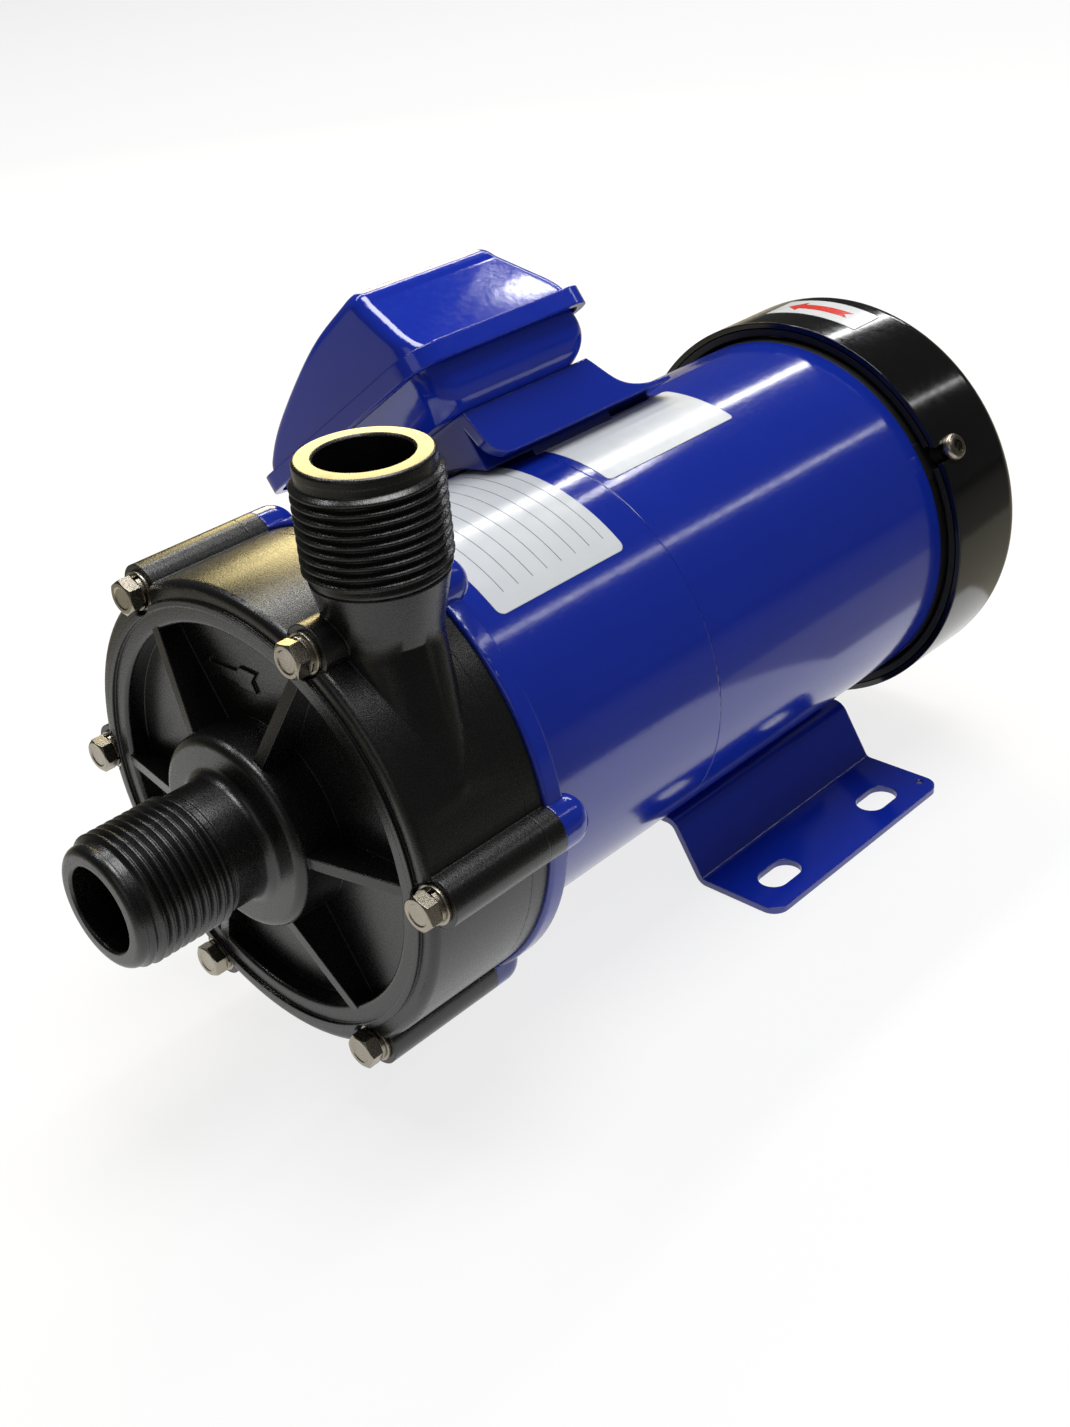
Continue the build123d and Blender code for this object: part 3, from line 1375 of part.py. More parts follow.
save(cable_grommet, "cable_grommet")
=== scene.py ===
"""Blender looks of a close-coupled magnetic drive pump.

Metres, +Z up, in the frame of the CAD model: the shaft runs along Y, the inlet faces -Y and the
fan is at the +Y end. Lengths are written in millimetres and multiplied by mm; lamps and camera
stand in metres. A station is a place along the shaft: the millimetres of its Y.
"""
import json
from math import atan2, cos, hypot, pi, radians, sin, tan

import bmesh
import bpy
from mathutils import Matrix, Vector


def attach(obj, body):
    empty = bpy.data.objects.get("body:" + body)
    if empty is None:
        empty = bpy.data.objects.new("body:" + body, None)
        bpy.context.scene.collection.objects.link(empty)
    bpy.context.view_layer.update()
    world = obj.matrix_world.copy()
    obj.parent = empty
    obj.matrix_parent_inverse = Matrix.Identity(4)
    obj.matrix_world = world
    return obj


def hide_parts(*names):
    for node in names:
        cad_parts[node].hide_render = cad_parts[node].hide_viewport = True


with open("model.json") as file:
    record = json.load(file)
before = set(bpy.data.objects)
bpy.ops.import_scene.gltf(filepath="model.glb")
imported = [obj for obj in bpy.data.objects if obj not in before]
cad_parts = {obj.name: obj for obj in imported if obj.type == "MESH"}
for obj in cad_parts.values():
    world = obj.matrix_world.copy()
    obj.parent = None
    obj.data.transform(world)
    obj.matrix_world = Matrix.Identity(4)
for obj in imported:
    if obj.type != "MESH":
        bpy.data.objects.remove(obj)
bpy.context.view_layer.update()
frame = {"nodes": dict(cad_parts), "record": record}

mm = 0.001
case = "pump_and_motor_case"
along_shaft = Vector((0, 1, 0))
upwards = Vector((0, 0, 1))

# Places of the ports and the fan cover, read from the frame, in millimetres


def reach(node):
    """Lowest and highest corner of a CAD node, in millimetres."""
    corners = [Vector(corner) / mm for corner in frame["nodes"][node].bound_box]
    return [Vector(pick(corner[axis] for corner in corners) for axis in range(3)) for pick in (min, max)]


mounts = {mount["name"]: mount for mount in frame["record"]["mounts"]}
shaft = Vector((0, 0, mounts["inlet"]["pos_m"][2]))
outlet_x, outlet_y = (place / mm for place in mounts["outlet"]["pos_m"][:2])
crest_radius = mounts["outlet"]["dims"]["r_mm"]
inlet_end = reach("front_casing")[0].y
outlet_top = reach("front_casing")[1].z
cover_front = reach("fan_cover")[0].y

# Sizes that the dressed pieces share with the CAD model, in millimetres
body_radius = 54.3
cover_radius = 59.5
cover_bore = 57.5
port_thread = 27            # length of the plain crest on either port, with its run-out
cad_nose_radius = 15.3      # outlet's end in the CAD model, and its rounding
cad_rounding = 2.2
floor_front = -152.5        # station of the casing's front wall between the ribs
bolt_seat = -156.5          # station of the boss faces under the washers
bolt_circle = 60.3
bolt_turn = 1.6             # angle of the first bolt, in degrees
shank_end = 43.4            # bolt's tip behind the seat
screw_station = 60.1
screw_angles = (30, 150, 270)
near = 0.05                 # how close a vertex lies to the size that it is told by
past = 0.1                  # how far a piece sinks into what carries it


# Materials

def linear(hex_colour):
    """Scene-linear colour of an sRGB hex value."""
    channels = [int(hex_colour[start:start + 2], 16) / 255 for start in (1, 3, 5)]
    return [c / 12.92 if c < 0.04045 else ((c + 0.055) / 1.055) ** 2.4 for c in channels] + [1.0]


def add(material, kind, links=None, inputs=None, **settings):
    """Add a node with its settings, its input values and the sockets that feed it."""
    node = material.node_tree.nodes.new(kind)
    for name, value in settings.items():
        setattr(node, name, value)
    for name, value in (inputs or {}).items():
        node.inputs[name].default_value = value
    for name, source in (links or {}).items():
        material.node_tree.links.new(source, node.inputs[name])
    return node


def finish(name, colours, roughness, grain, relief, metallic=0.0, edge=0.3, mottle=8.0, **sockets):
    """Surface finish whose colour wanders between two hex values over `mottle` mm, its roughness
    between two values over the `grain` in mm, with a bump `relief` mm high and corners worn round
    to `edge` mm."""
    material = bpy.data.materials.new(name)
    material.use_nodes = True
    shader = material.node_tree.nodes["Principled BSDF"]
    shader.inputs["Metallic"].default_value = metallic
    for socket, value in sockets.items():
        shader.inputs[socket.replace("_", " ")].default_value = value
    place = add(material, "ShaderNodeTexCoord").outputs["Object"]
    cloud = add(material, "ShaderNodeTexNoise", {"Vector": place},
                {"Scale": 1 / (mottle * mm), "Detail": 3.0})
    tint = add(material, "ShaderNodeMix", {"Factor": cloud.outputs["Fac"]}, data_type="RGBA")
    tint.inputs["A"].default_value = linear(colours[0])
    tint.inputs["B"].default_value = linear(colours[1])
    speckle = add(material, "ShaderNodeTexNoise", {"Vector": place},
                  {"Scale": 1 / (grain * mm), "Detail": 2.0})
    gloss = add(material, "ShaderNodeMapRange", {"Value": speckle.outputs["Fac"]},
                {"From Min": 0.3, "From Max": 0.7, "To Min": roughness[0], "To Max": roughness[1]})
    corner = add(material, "ShaderNodeBevel", inputs={"Radius": edge * mm}, samples=6)
    height, normal = speckle.outputs["Fac"], corner.outputs["Normal"]
    bump = add(material, "ShaderNodeBump", {"Height": height, "Normal": normal}, {"Distance": relief * mm})
    links = material.node_tree.links
    links.new(tint.outputs["Result"], shader.inputs["Base Color"])
    links.new(gloss.outputs["Result"], shader.inputs["Roughness"])
    links.new(bump.outputs["Normal"], shader.inputs["Normal"])
    return material


# Glass-filled polypropylene, injection moulded: near black, satin, with a fine spark-eroded grain
moulding = finish("glass_filled_polypropylene", ("#0a0b0a", "#101110"), (0.22, 0.36), 0.45, 0.035,
                  edge=0.5, IOR=1.6)
# The same moulding where the outlet's end is faced: smoother, so that it mirrors the lamps, and a shade
# lighter and warmer, a painted reflection of the warm lamp
faced_end_painted_sheen = finish("faced_polypropylene_painted_sheen", ("#121310", "#1c1d19"), (0.1, 0.2), 0.5, 0.01, edge=0.3)
# Alumina, ground: ivory white and smooth
alumina = finish("ground_alumina", ("#ece7dc", "#f3efe6"), (0.16, 0.24), 0.3, 0.002)
# Nitrile rubber, moulded: dull black
nitrile = finish("nitrile_rubber", ("#17171a", "#202022"), (0.62, 0.74), 0.4, 0.02)
# Carbon graphite, machined: dark grey with a faint metallic lustre
graphite = finish("carbon_graphite", ("#2c2c2f", "#38383a"), (0.34, 0.44), 0.3, 0.01)
# Ferrite magnet, ground: charcoal, slightly porous
ferrite = finish("sintered_ferrite", ("#35353a", "#46464b"), (0.42, 0.6), 0.5, 0.03)
# Enamel, sprayed and stoved on castings: deep royal blue, gloss, faint orange peel
enamel = finish("royal_blue_enamel", ("#0f258e", "#122b99"), (0.1, 0.16), 1.1, 0.012,
                edge=0.7, mottle=30.0, IOR=1.75)
# The same enamel on the sheet pieces, painted a shade lighter to stand in for more light falling on them, and
# wetter
sheet_enamel_painted_lighter = finish("royal_blue_enamel_painted_lighter", ("#112aa2", "#1431ae"), (0.08, 0.13), 1.6, 0.012,
                      edge=0.7, mottle=30.0, IOR=1.75)
# Stainless steel fasteners, cold headed: bright, finely scratched
stainless = finish("stainless_steel", ("#b3ac9e", "#8f887a"), (0.22, 0.36), 0.35, 0.01,
                   metallic=1.0, edge=0.25)
# Cast iron, turned: mid grey with a fine open grain
iron = finish("turned_cast_iron", ("#77736e", "#8b8782"), (0.36, 0.5), 0.4, 0.02, metallic=1.0)
# Alloy steel, oil blackened: dark with a soft sheen
black_steel = finish("blackened_steel", ("#26262a", "#333337"), (0.3, 0.42), 0.4, 0.01, metallic=1.0)
# Bearing steel, ground: bright and even
steel = finish("ground_steel", ("#cdcdcc", "#bcbcbd"), (0.14, 0.22), 0.25, 0.003, metallic=1.0)
# Electrical steel, stamped and stacked: blue-grey
lamination = finish("stacked_laminations", ("#74767b", "#8a8c90"), (0.34, 0.48), 0.5, 0.02, metallic=1.0)
# Aluminium, die cast: pale silver with a sandy skin
aluminium = finish("die_cast_aluminium", ("#c4c6c8", "#b2b4b7"), (0.3, 0.44), 0.5, 0.02, metallic=1.0)
# Copper wire, varnished: warm brown gloss
copper = finish("varnished_copper", ("#9a4f28", "#b1632f"), (0.16, 0.3), 1.0, 0.12, metallic=1.0)
# Polypropylene fan, moulded: dull black
fan_plastic = finish("moulded_polypropylene", ("#1b1b1d", "#232325"), (0.4, 0.52), 0.5, 0.02)
# Enamel on the pressed steel cover: black, wet gloss, faint orange peel
cover_enamel = finish("black_enamel", ("#060607", "#0a0a0b"), (0.1, 0.15), 2.2, 0.01, edge=0.6, IOR=1.6)
# Primer on the pressed end bell and the cover's rolled edge: black, nearly matt
primer = finish("black_primer", ("#0a0a0b", "#101011"), (0.5, 0.62), 0.6, 0.02)
# Brass, turned: yellow and bright
brass = finish("turned_brass", ("#c9a85a", "#b8964a"), (0.18, 0.3), 0.3, 0.005, metallic=1.0)
# Polyamide terminal block, moulded: ivory, half matt
polyamide = finish("ivory_polyamide", ("#d9d2c0", "#e2dccb"), (0.36, 0.46), 0.5, 0.02)
# Vinyl sticker, varnished: cool white, soft gloss
vinyl = finish("white_vinyl", ("#ced2d5", "#d6d9dc"), (0.16, 0.24), 4.0, 0.01)
# Its printing, under the same varnish: grey rules and a red arrow
ruling = finish("printed_grey_rules", ("#8d9094", "#9b9ea2"), (0.2, 0.3), 4.0, 0.01)
red_print = finish("printed_red", ("#c8322c", "#d23a33"), (0.2, 0.3), 4.0, 0.01)

finishes = {
    "black_moulding": moulding, "ceramic": alumina, "rubber": nitrile, "carbon": graphite, "ferrite": ferrite,
    "blue_paint": enamel, "stainless": stainless, "iron": iron, "black_steel": black_steel, "steel": steel,
    "lamination": lamination, "aluminium": aluminium, "copper": copper, "fan_plastic": fan_plastic,
    "black_cover": cover_enamel, "black_paint": primer, "brass": brass, "block_plastic": polyamide}
slot_of = {part["node"]: part["material_slot"] for part in frame["record"]["subparts"]}
for name, node in frame["nodes"].items():
    node.data.materials.clear()
    node.data.materials.append(finishes[slot_of[name]])


# Mesh helpers

def joined(shapes):
    """One bmesh of several."""
    whole = bmesh.new()
    for shape in shapes:
        mesh = bpy.data.meshes.new("loose")
        shape.to_mesh(mesh)
        shape.free()
        whole.from_mesh(mesh)
        bpy.data.meshes.remove(mesh)
    return whole


def merged(node):
    """Bmesh of a CAD node, with its loose triangles joined."""
    shape = bmesh.new()
    shape.from_mesh(frame["nodes"][node].data)
    bmesh.ops.remove_doubles(shape, verts=shape.verts, dist=0.002 * mm)
    return shape


def linked(name, shape, material):
    """Object from a bmesh, linked to the scene."""
    mesh = bpy.data.meshes.new(name)
    shape.to_mesh(mesh)
    shape.free()
    mesh.materials.append(material)
    made = bpy.data.objects.new(name, mesh)
    bpy.context.scene.collection.objects.link(made)
    return made


def put(name, shape, material, slot, *nodes, smooth=32):
    """Finish a piece of the case from a bmesh and hide the CAD nodes that it stands for; edges sharper
    than `smooth` degrees stay sharp."""
    shape.normal_update()
    for face in shape.faces:
        face.smooth = True
    for edge in shape.edges:
        edge.smooth = edge.calc_face_angle(pi) < radians(smooth)
    piece = linked(name, shape, material)
    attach(piece, case)
    if nodes:
        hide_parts(*nodes)
    return piece


def closed(shape):
    """Fill the open ends of a shape and turn its faces outwards."""
    bmesh.ops.holes_fill(shape, edges=[edge for edge in shape.edges if edge.is_boundary])
    bmesh.ops.recalc_face_normals(shape, faces=shape.faces)
    return shape


def section_points(shape, section, centre, line, side):
    """Points of a (station, radius) section, drawn in the plane of a line and a side."""
    return [shape.verts.new(centre + line * station * mm + side * radius * mm) for station, radius in section]


def loop(shape, points):
    """Join points to a closed loop; give its points and edges."""
    return points + [shape.edges.new(pair) for pair in zip(points, points[1:] + points[:1])]


def turned(outline, rounds=(), centre=shaft, line=along_shaft, steps=128):
    """Turn a closed outline of (station, radius) points round a line; rounds are (index, radius)."""
    shape = bmesh.new()
    points = section_points(shape, outline, centre, line, line.orthogonal().normalized())
    shape.faces.new(points)
    for index, radius in rounds:
        bmesh.ops.bevel(shape, geom=[points[index]], offset=radius * mm, offset_type="WIDTH", segments=5,
                        affect="VERTICES", profile=0.5, material=-1)
    bmesh.ops.delete(shape, geom=shape.faces[:], context="FACES_ONLY")
    bmesh.ops.spin(shape, geom=shape.verts[:] + shape.edges[:], cent=centre, axis=line, angle=2 * pi,
                   steps=steps, use_merge=True)
    bmesh.ops.remove_doubles(shape, verts=shape.verts, dist=0.002 * mm)
    bmesh.ops.recalc_face_normals(shape, faces=shape.faces)
    return shape


def swept(section, start, sweep, steps, centre=shaft):
    """Sweep a closed (station, radius) section part of the way round the shaft's direction."""
    shape = bmesh.new()
    side = Vector((cos(radians(start)), 0, sin(radians(start))))
    points = section_points(shape, section, centre, along_shaft, side)
    bmesh.ops.spin(shape, geom=loop(shape, points), cent=centre, axis=along_shaft, angle=radians(sweep),
                   steps=steps)
    return closed(shape)


def pulled(shape, outline):
    """Extrude an outline in place; give its new points and edges."""
    grown = bmesh.ops.extrude_edge_only(shape, edges=outline)["geom"]
    points = [item for item in grown if isinstance(item, bmesh.types.BMVert)]
    edges = [item for item in grown if isinstance(item, bmesh.types.BMEdge)]
    return points, edges


def stepped(shape, outline, steps):
    """Extrude an outline from circle to circle, each a (radius, height); give the last outline."""
    for radius, height in steps:
        points, outline = pulled(shape, outline)
        for point in points:
            scale = radius * mm / hypot(point.co.x, point.co.y)
            point.co = Vector((point.co.x * scale, point.co.y * scale, height * mm))
    return outline


def plate(outline, low, high, corner=0.0):
    """Flat plate with rounded corners, drawn from above, between two heights."""
    shape = bmesh.new()
    points = [shape.verts.new((x * mm, y * mm, low * mm)) for x, y in outline]
    shape.faces.new(points)
    if corner:
        bmesh.ops.bevel(shape, geom=points, offset=corner * mm, offset_type="WIDTH", segments=6,
                        affect="VERTICES", profile=0.5, material=-1)
    raised = bmesh.ops.extrude_face_region(shape, geom=shape.faces[:])
    lifted = [item for item in raised["geom"] if isinstance(item, bmesh.types.BMVert)]
    bmesh.ops.translate(shape, verts=lifted, vec=(0, 0, (high - low) * mm))
    bmesh.ops.recalc_face_normals(shape, faces=shape.faces)
    return shape


def rectangle(left, right, front, rear):
    """Corners of a rectangle."""
    return (left, front), (right, front), (right, rear), (left, rear)


# Front casing: the CAD moulding with real threads on both ports and the raised rotation arrow

thread_pitch = 2.309
root_radius = 15.15
thread_core = 15.0          # where the turns sink into the port
thread_start = 3.3          # first turn behind a port's end
thread_turns = 9.9
steps_per_turn = 64
fade_in, fade_out = 0.4, 0.6
tooth = ((-1.15, thread_core), (-0.95, 15.2), (-0.45, 16.3), (-0.22, 16.58), (0.22, 16.58), (0.45, 16.3),
         (0.95, 15.2), (1.15, thread_core))
faced_rounding = 0.8        # rounding that the faced outlet really has


def thread(centre, line):
    """Right-hand pipe thread along a line from a point, its first and last turns fading out."""
    shape = bmesh.new()
    points = section_points(shape, tooth, centre, line, line.orthogonal().normalized())
    steps = round(thread_turns * steps_per_turn)
    bmesh.ops.spin(shape, geom=loop(shape, points), cent=centre, axis=line, angle=2 * pi * thread_turns,
                   steps=steps, dvec=line * (thread_pitch / steps_per_turn) * mm)
    shape.verts.ensure_lookup_table()
    for index, point in enumerate(shape.verts):
        step = index // len(tooth)
        fade = min(1.0, step / (fade_in * steps_per_turn), (steps - step) / (fade_out * steps_per_turn))
        out = point.co - centre
        out -= line * out.dot(line)
        height = out.length - thread_core * mm
        point.co -= out.normalized() * height * (1 - fade)
    return closed(shape)


def drawn_in(point, scale):
    """Move a point of the casing towards the outlet's axis."""
    point.co.x = (outlet_x + (point.co.x / mm - outlet_x) * scale) * mm
    point.co.y = (outlet_y + (point.co.y / mm - outlet_y) * scale) * mm


def bare_ports(casing):
    """Take the CAD crests of both ports down to the root of the thread, and the outlet's nose to its
    real rounding."""
    nose_core = cad_nose_radius - cad_rounding
    for point in casing.verts:
        x, y, z = point.co / mm
        from_shaft = hypot(x, z - shaft.z / mm)
        from_outlet = hypot(x - outlet_x, y - outlet_y)
        if abs(from_shaft - crest_radius) < near and y < inlet_end + port_thread:
            scale = root_radius / from_shaft
            point.co.x *= scale
            point.co.z = shaft.z + (point.co.z - shaft.z) * scale
        elif nose_core - near < from_outlet < crest_radius - near and z > outlet_top - cad_rounding - near:
            turn = atan2(z - outlet_top + cad_rounding, from_outlet - nose_core)
            drawn_in(point, (cad_nose_radius - faced_rounding * (1 - cos(turn))) / from_outlet)
            point.co.z = (outlet_top - faced_rounding * (1 - sin(turn))) * mm
        elif abs(from_outlet - crest_radius) < near and z > outlet_top - port_thread:
            drawn_in(point, root_radius / from_outlet)
    return casing


def rotation_arrow():
    """Arrow that stands up from the casing's front wall, drawn as x and height over the shaft."""
    outline = ((-17.5, 35.0), (-13.4, 37.9), (-13.4, 36.6), (-3.8, 36.9), (-2.6, 38.3), (3.4, 38.1),
               (1.4, 35.5), (2.6, 32.8), (-3.2, 32.7), (-4.4, 33.7), (-13.4, 33.5), (-13.4, 32.2))
    arrow = plate(outline, -past, 0.7)
    to_front = Matrix.Translation((0, floor_front * mm, shaft.z)) @ Matrix.Rotation(radians(90), 4, "X")
    bmesh.ops.transform(arrow, matrix=to_front, verts=arrow.verts)
    return arrow


inlet_thread = thread(shaft + along_shaft * (inlet_end + thread_start) * mm, along_shaft)
outlet_thread = thread(Vector((outlet_x, outlet_y, outlet_top - thread_start)) * mm, -upwards)
casing = joined([bare_ports(merged("front_casing")), inlet_thread, outlet_thread, rotation_arrow()])
head = put("front_casing_moulding", casing, moulding, "black_moulding", "front_casing")
# The outlet's flat end takes the faced moulding, whose lighter, warmer colour is a painted reflection
head.data.materials.append(faced_end_painted_sheen)
for face in head.data.polygons:
    if face.normal.z > 0.99 and face.center.z > (outlet_top - near) * mm:
        face.material_index = 1


# Casing bolts: chamfered hexagon heads, each left at its own angle, with spring and plain washers

head_angles = (12, 40, 5, 22, 50, 31)
flats = 8.0
head_height = 3.5
head_seat = -2.2            # head's underside, before the seat
chamfer_radius = 0.47 * flats
# Radius and height of the rings on the head: the chamfer's end, the dish's rim, its floor, its middle
head_steps = ((chamfer_radius, head_height), (0.36 * flats, head_height), (0.32 * flats, head_height - 0.25),
              (0.1, head_height - 0.3))
plain_washer = ((-1.0, 2.62), (0, 2.62), (0, 5.0), (-1.0, 5.0))
spring_washer = ((-2.16, 2.62), (-1.02, 2.62), (-1.02, 4.35), (-2.16, 4.35))
bolt_shank = ((head_seat - past, 0), (shank_end, 0), (shank_end, 2.5), (head_seat - past, 2.5))


def hexagon_head(centre, twist):
    """Hexagon head whose front corners are chamfered to a cone, with a shallow dished face."""
    shape = bmesh.new()
    ring = bmesh.ops.create_circle(shape, segments=6, radius=flats / 2 / cos(radians(30)) * mm)["verts"]
    edges = list({edge for point in ring for edge in point.link_edges})
    bmesh.ops.subdivide_edges(shape, edges=edges, cuts=7)
    points, outline = pulled(shape, shape.edges[:])
    for point in points:
        past_chamfer = max(0.0, hypot(point.co.x, point.co.y) - chamfer_radius * mm)
        point.co.z = head_height * mm - past_chamfer * tan(radians(30))
    stepped(shape, outline, head_steps)
    facing = Matrix.Rotation(radians(90), 4, "X") @ Matrix.Rotation(radians(twist), 4, "Z")
    bmesh.ops.transform(shape, matrix=Matrix.Translation(centre) @ facing, verts=shape.verts)
    return closed(shape)


bolts = []
lock_washers = []
flat_washers = []
for number, twist in enumerate(head_angles):
    angle = radians(bolt_turn + 60 * number)
    on_circle = Vector((bolt_circle * cos(angle), 0, bolt_circle * sin(angle))) * mm + shaft
    at_seat = on_circle + along_shaft * bolt_seat * mm
    bolts.append(hexagon_head(at_seat + along_shaft * head_seat * mm, twist))
    bolts.append(turned(bolt_shank, [(2, 0.5)], at_seat, along_shaft, 24))
    flat_washers.append(turned(plain_washer, [(3, 0.25), (2, 0.25)], at_seat, along_shaft, 48))
    lock_washers.append(swept(spring_washer, twist + 60, 346, 48, at_seat))
put("hexagon_bolts", joined(bolts), stainless, "stainless", "casing_bolts", smooth=25)
put("spring_washers", joined(lock_washers), stainless, "stainless", "casing_lock_washers")
put("plain_washers", joined(flat_washers), stainless, "stainless", "casing_flat_washers")


# Outer castings, sheet pieces and covers: the CAD shapes with smooth skins

for name, node, skin, slot in (
        ("rear_casing_moulding", "rear_casing", moulding, "black_moulding"),
        ("enamelled_bracket", "bracket", enamel, "blue_paint"),
        ("enamelled_barrel", "motor_housing", enamel, "blue_paint"),
        # The foot, the box and the lid take the enamel painted a shade lighter, as painted light
        ("enamelled_foot", "foot", sheet_enamel_painted_lighter, "blue_paint"),
        ("enamelled_box", "terminal_box_base", sheet_enamel_painted_lighter, "blue_paint"),
        ("enamelled_lid", "terminal_box_lid", sheet_enamel_painted_lighter, "blue_paint"),
        ("pressed_fan_cover", "fan_cover", cover_enamel, "black_cover")):
    put(name, merged(node), skin, slot, node)

# Rolled front edge of the fan cover, in three runs between its screws: its gap to the barrel is dark
edge_depth = 2.3
edge_chamfer = 0.4
edge_width = 1.6
edge_bore = cover_bore - edge_depth
beside_screw = 3.5          # degrees left open on either side of a screw
rolled_edge = [(cover_front, cover_bore + edge_chamfer), (cover_front, edge_bore + edge_chamfer),
               (cover_front + edge_chamfer, edge_bore), (cover_front + edge_width - edge_chamfer, edge_bore),
               (cover_front + edge_width, edge_bore + edge_chamfer),
               (cover_front + edge_width, cover_bore + edge_chamfer)]
runs = [swept(rolled_edge, angle + beside_screw, 2 * beside_screw - 120, 60) for angle in screw_angles]
put("rolled_cover_edge", joined(runs), primer, "black_cover")


# Fan cover's screws: domed pan heads with a cross recess, on plain shanks

pan_crown = 2.7             # radius of the flat on top of the dome
pan_height = 2.35
# Radius and height of the rings down the dome, from the crown
pan_steps = ((3.35, -0.35), (3.75, -0.95), (3.85, -1.6), (3.85, -pan_height))
recess_arm, recess_half, recess_depth = 1.9, 0.45, 1.3
recess_twist = 20
shank_radius = 2.0
shank_length = 9.7


def pan_head(out):
    """Domed head with a cross recess on the cover, facing out."""
    shape = bmesh.new()
    circle = bmesh.ops.create_circle(shape, segments=32, radius=pan_crown * mm)["verts"]
    outline = list({edge for point in circle for edge in point.link_edges})
    arm, half = recess_arm * mm, recess_half * mm
    quarter = (Vector((arm, -half, 0)), Vector((arm, half, 0)), Vector((half, half, 0)))
    cross = [shape.verts.new(Matrix.Rotation(radians(turn), 3, "Z") @ corner)
             for turn in (0, 90, 180, 270) for corner in quarter]
    recess = loop(shape, cross)[len(cross):]
    bmesh.ops.triangle_fill(shape, use_beauty=True, use_dissolve=False, edges=outline + recess)
    # The crown stays open in four small triangles beside the inner corners of the recess
    beside = [face for face in shape.faces if all(point in cross for point in face.verts)]
    bmesh.ops.delete(shape, geom=beside, context="FACES_ONLY")
    deep, rim = pulled(shape, recess)
    bmesh.ops.translate(shape, verts=deep, vec=(0, 0, -recess_depth * mm))
    bmesh.ops.contextual_create(shape, geom=deep + rim)
    bmesh.ops.holes_fill(shape, edges=stepped(shape, outline, pan_steps))
    bmesh.ops.recalc_face_normals(shape, faces=shape.faces)
    facing = out.to_track_quat("Z", "Y").to_matrix().to_4x4() @ Matrix.Rotation(radians(recess_twist), 4, "Z")
    centre = shaft + along_shaft * screw_station * mm + out * (cover_radius + pan_height) * mm
    bmesh.ops.transform(shape, matrix=Matrix.Translation(centre) @ facing, verts=shape.verts)
    return shape


def screw_shank(out):
    """Plain shank under a pan head."""
    tip = shaft + along_shaft * screw_station * mm + out * (cover_radius + past - shank_length) * mm
    outline = [(0, 0), (0, shank_radius), (shank_length, shank_radius), (shank_length, 0)]
    return turned(outline, [], tip, out, 24)


screws = []
for angle in screw_angles:
    out = Vector((cos(radians(angle)), 0, sin(radians(angle))))
    screws += [pan_head(out), screw_shank(out)]
put("pan_head_screws", joined(screws), stainless, "stainless", "fan_cover_screws", smooth=25)


# Stickers: a ruled plate on the bracket, a blank one behind the seam, and the turning arrow on the cover

film = 0.12                 # thickness of the vinyl
print_low = 0.1             # printing starts inside the film
rule_top = 0.14
arrow_top = 0.15
bend_reach = 60             # arc that a drawing may cover on either side of the top
bend_step = 2


def wrapped(shape, radius):
    """Bend a shape drawn flat onto the barrel: x is the arc from the top, y the station, z the height."""
    for start in range(-bend_reach, bend_reach + 1, bend_step):
        bmesh.ops.bisect_plane(shape, geom=shape.verts[:] + shape.edges[:] + shape.faces[:],
                               plane_co=(start * mm, 0, 0), plane_no=(1, 0, 0))
    for point in shape.verts:
        angle = point.co.x / (radius * mm)
        distance = radius * mm + point.co.z
        point.co = Vector((distance * sin(angle), point.co.y, shaft.z + distance * cos(angle)))
    return shape


def sticker(name, outline, low, high, corner, material, radius, slot):
    """Film or printing on the barrel or the cover."""
    put(name, wrapped(plate(outline, low, high, corner), radius), material, slot)


sticker("ruled_sticker", rectangle(-16, 38, -105.3, -61.2), 0.0, film, 3.0, vinyl, body_radius, "blue_paint")
rules = [plate(rectangle(-11, 33, station, station + 0.25), print_low, rule_top)
         for station in range(-100, -64, 5)]
put("sticker_rules", wrapped(joined(rules), body_radius), ruling, "blue_paint")
sticker("blank_sticker", rectangle(-5.2, 19, -47.5, 3.5), 0.0, film, 2.0, vinyl, body_radius, "blue_paint")
sticker("cover_sticker", rectangle(-16, 16, 64, 77), 0.0, film, 1.0, vinyl, cover_radius, "black_cover")
red_arrow = ((-12, 70.5), (-7, 74.5), (-7, 72.5), (10, 72.5), (8, 70.5), (10, 68.5), (-7, 68.5), (-7, 66.5))
sticker("cover_arrow", red_arrow, print_low, arrow_top, 0.0, red_print, cover_radius, "black_cover")


# Floor and the reflectors round it

def staged(name, shape, material):
    """Stage object from a bmesh."""
    made = linked(name, shape, material)
    return made


# White paper floor: it shows white, and keeps a soft shadow under the pump
paper = bpy.data.materials.new("white_paper")
paper.use_nodes = True
paper.node_tree.nodes.remove(paper.node_tree.nodes["Principled BSDF"])
matt = add(paper, "ShaderNodeBsdfDiffuse", inputs={"Color": linear("#f4f4f4")})
glow = add(paper, "ShaderNodeEmission", inputs={"Color": linear("#ffffff"), "Strength": 1.0})
ray = add(paper, "ShaderNodeLightPath").outputs
seen = add(paper, "ShaderNodeMath", {0: ray["Is Camera Ray"], 1: ray["Is Glossy Ray"]}, operation="MAXIMUM")
seen = add(paper, "ShaderNodeMath", {0: seen.outputs[0], 1: ray["Is Transmission Ray"]}, operation="MAXIMUM")
share = add(paper, "ShaderNodeMath", {0: seen.outputs[0]}, {1: 0.8}, operation="MULTIPLY")
blend = add(paper, "ShaderNodeMixShader", {0: share.outputs[0], 1: matt.outputs[0], 2: glow.outputs[0]})
paper.node_tree.links.new(blend.outputs[0], paper.node_tree.nodes["Material Output"].inputs["Surface"])

floor = bmesh.new()
bmesh.ops.create_circle(floor, cap_ends=True, segments=64, radius=9.0)
staged("studio_floor", floor, paper)

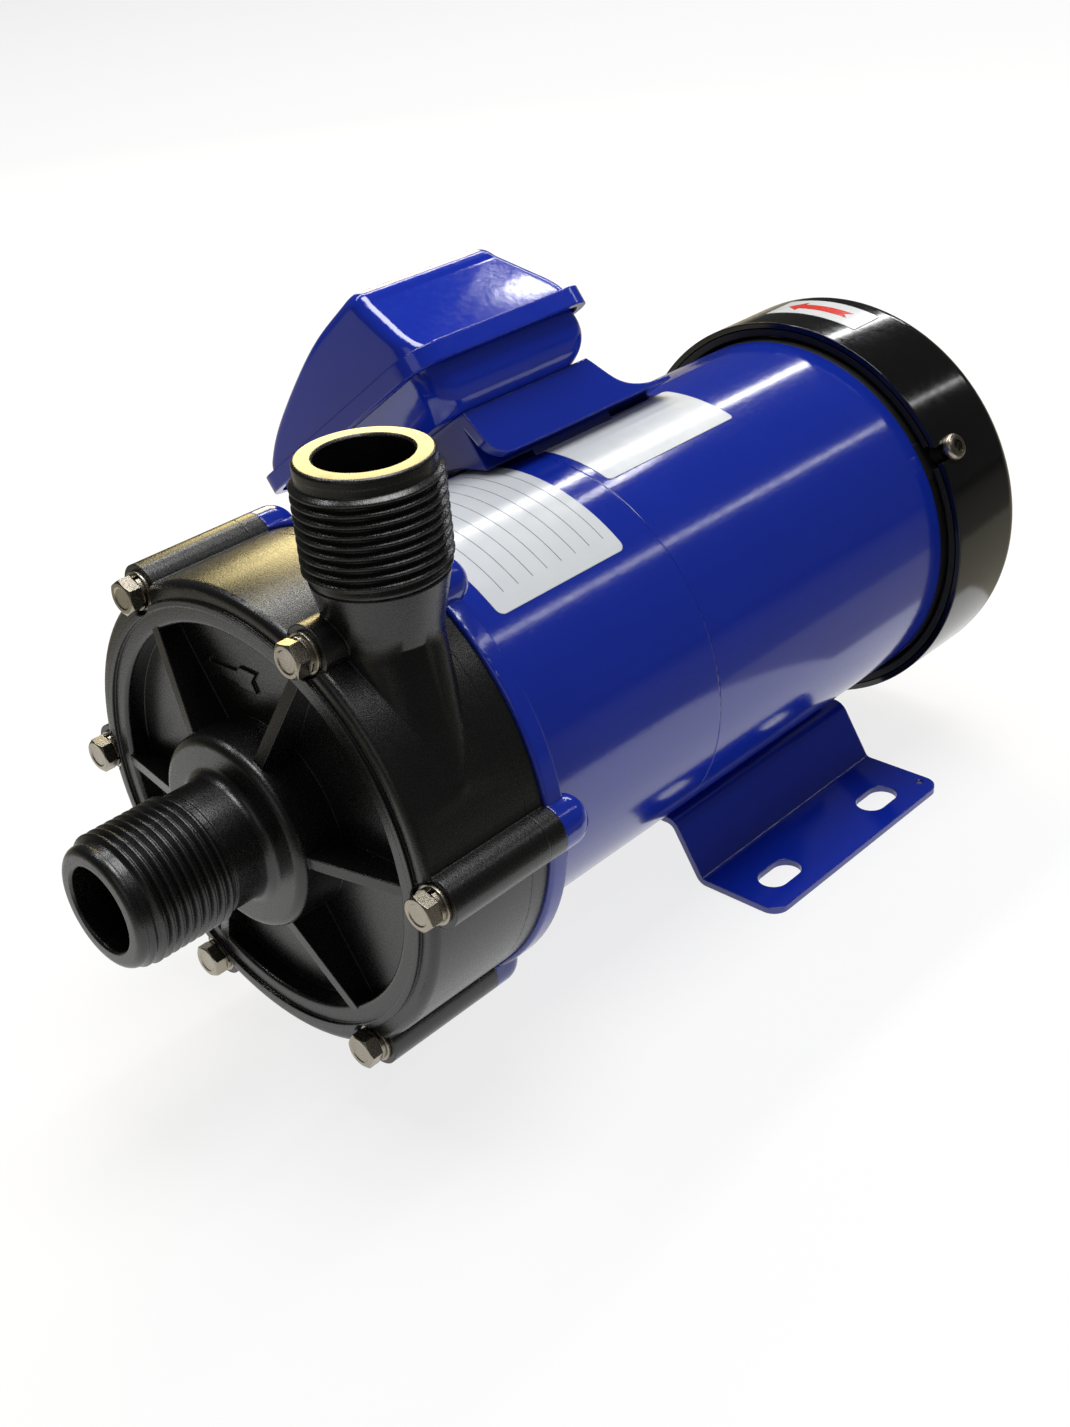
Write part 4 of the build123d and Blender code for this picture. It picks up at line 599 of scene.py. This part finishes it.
# Grey reflectors round the white paper: only their mirror image in the paint is seen
# Worn laminate: dark grey on the right, paler beige elsewhere, matt
dark_laminate = finish("dark_laminate", ("#54534f", "#63625c"), (0.5, 0.6), 3.0, 0.01)
beige_laminate = finish("beige_laminate", ("#8f8c80", "#9f9b8d"), (0.5, 0.6), 3.0, 0.01)
reflector_low, reflector_high = 0.5, 1.0
reflector_end = 8900
paper_left, paper_right, paper_front, paper_rear = -230, 176, -330, 140
notch_right, notch_front = 80, 68     # corner where the paper ends sooner


def reflector(name, material, panels):
    """Flat reflector from rectangles of (left, right, front, rear), seen in mirror images only."""
    shape = joined([plate(rectangle(*panel), reflector_low, reflector_high) for panel in panels])
    board = staged(name, shape, material)
    board.visible_camera = False
    board.visible_shadow = False
    board.visible_diffuse = False


reflector("dark_table", dark_laminate, [(paper_right, reflector_end, -reflector_end, reflector_end)])
reflector("beige_table", beige_laminate, [
    (-reflector_end, paper_left, -reflector_end, reflector_end),
    (paper_left, paper_right, -reflector_end, paper_front),
    (paper_left, notch_right, paper_rear, reflector_end),
    (notch_right, paper_right, notch_front, reflector_end)])


# Light: two long tubes along the shaft, a warm lamp behind, soft light from above and in front

def lamp(name, place, target, size, radiance, colour="#ffffff"):
    """Rectangular soft light that looks at a target; size is its width and length in metres."""
    data = bpy.data.lights.new(name, "AREA")
    data.shape = "RECTANGLE"
    data.size, data.size_y = size
    data.energy = radiance * 4 * size[0] * size[1]
    data.color = linear(colour)[:3]
    light = bpy.data.objects.new(name, data)
    toward = (Vector(target) - Vector(place)).normalized()
    across = toward.cross(along_shaft).normalized()
    turn = Matrix((across, across.cross(toward), -toward)).transposed()
    light.matrix_world = Matrix.Translation(place) @ turn.to_4x4()
    bpy.context.scene.collection.objects.link(light)


lamp("left_tube", (-1.0, 1.2, 1.75), (0, 1.0, 0.1), (0.13, 4.4), 13.0)
lamp("right_tube", (1.15, 1.3, 1.8), (0, 1.0, 0.1), (0.08, 4.4), 3.8)
lamp("warm_back", (-0.78, 0.53, 0.52), (0.03, -0.14, 0.16), (0.52, 0.3), 6.6, "#ffe9a6")
lamp("overhead", (0.1, 0.15, 1.9), (0, 0, 0.1), (1.0, 1.0), 7.0)
lamp("lid_glint", (-0.44, 1.50, 1.68), (0, 0, 0.16), (0.1, 0.05), 26.0)
lamp("front_fill", (0.6, -1.7, 0.9), (0, -0.1, 0.08), (1.4, 0.9), 0.35)

world = bpy.data.worlds.new("studio")
world.use_nodes = True
world.node_tree.nodes["Background"].inputs["Color"].default_value = linear("#ffffff")
world.node_tree.nodes["Background"].inputs["Strength"].default_value = 0.06
bpy.context.scene.world = world
bpy.context.scene.view_settings.view_transform = "Standard"


# Camera, fitted to the pump's circles and straight edges

lens = bpy.data.cameras.new("camera")
lens.lens = 44.30
lens.sensor_width = 36.0
lens.shift_x = 0.02605
lens.shift_y = -0.00634
lens.clip_start = 0.01
camera = bpy.data.objects.new("camera", lens)
camera.location = (0.2981, -0.3529, 0.2922)
camera.rotation_euler = (radians(60.59), radians(5.2615), radians(44.2147))
bpy.context.scene.collection.objects.link(camera)
bpy.context.scene.camera = camera
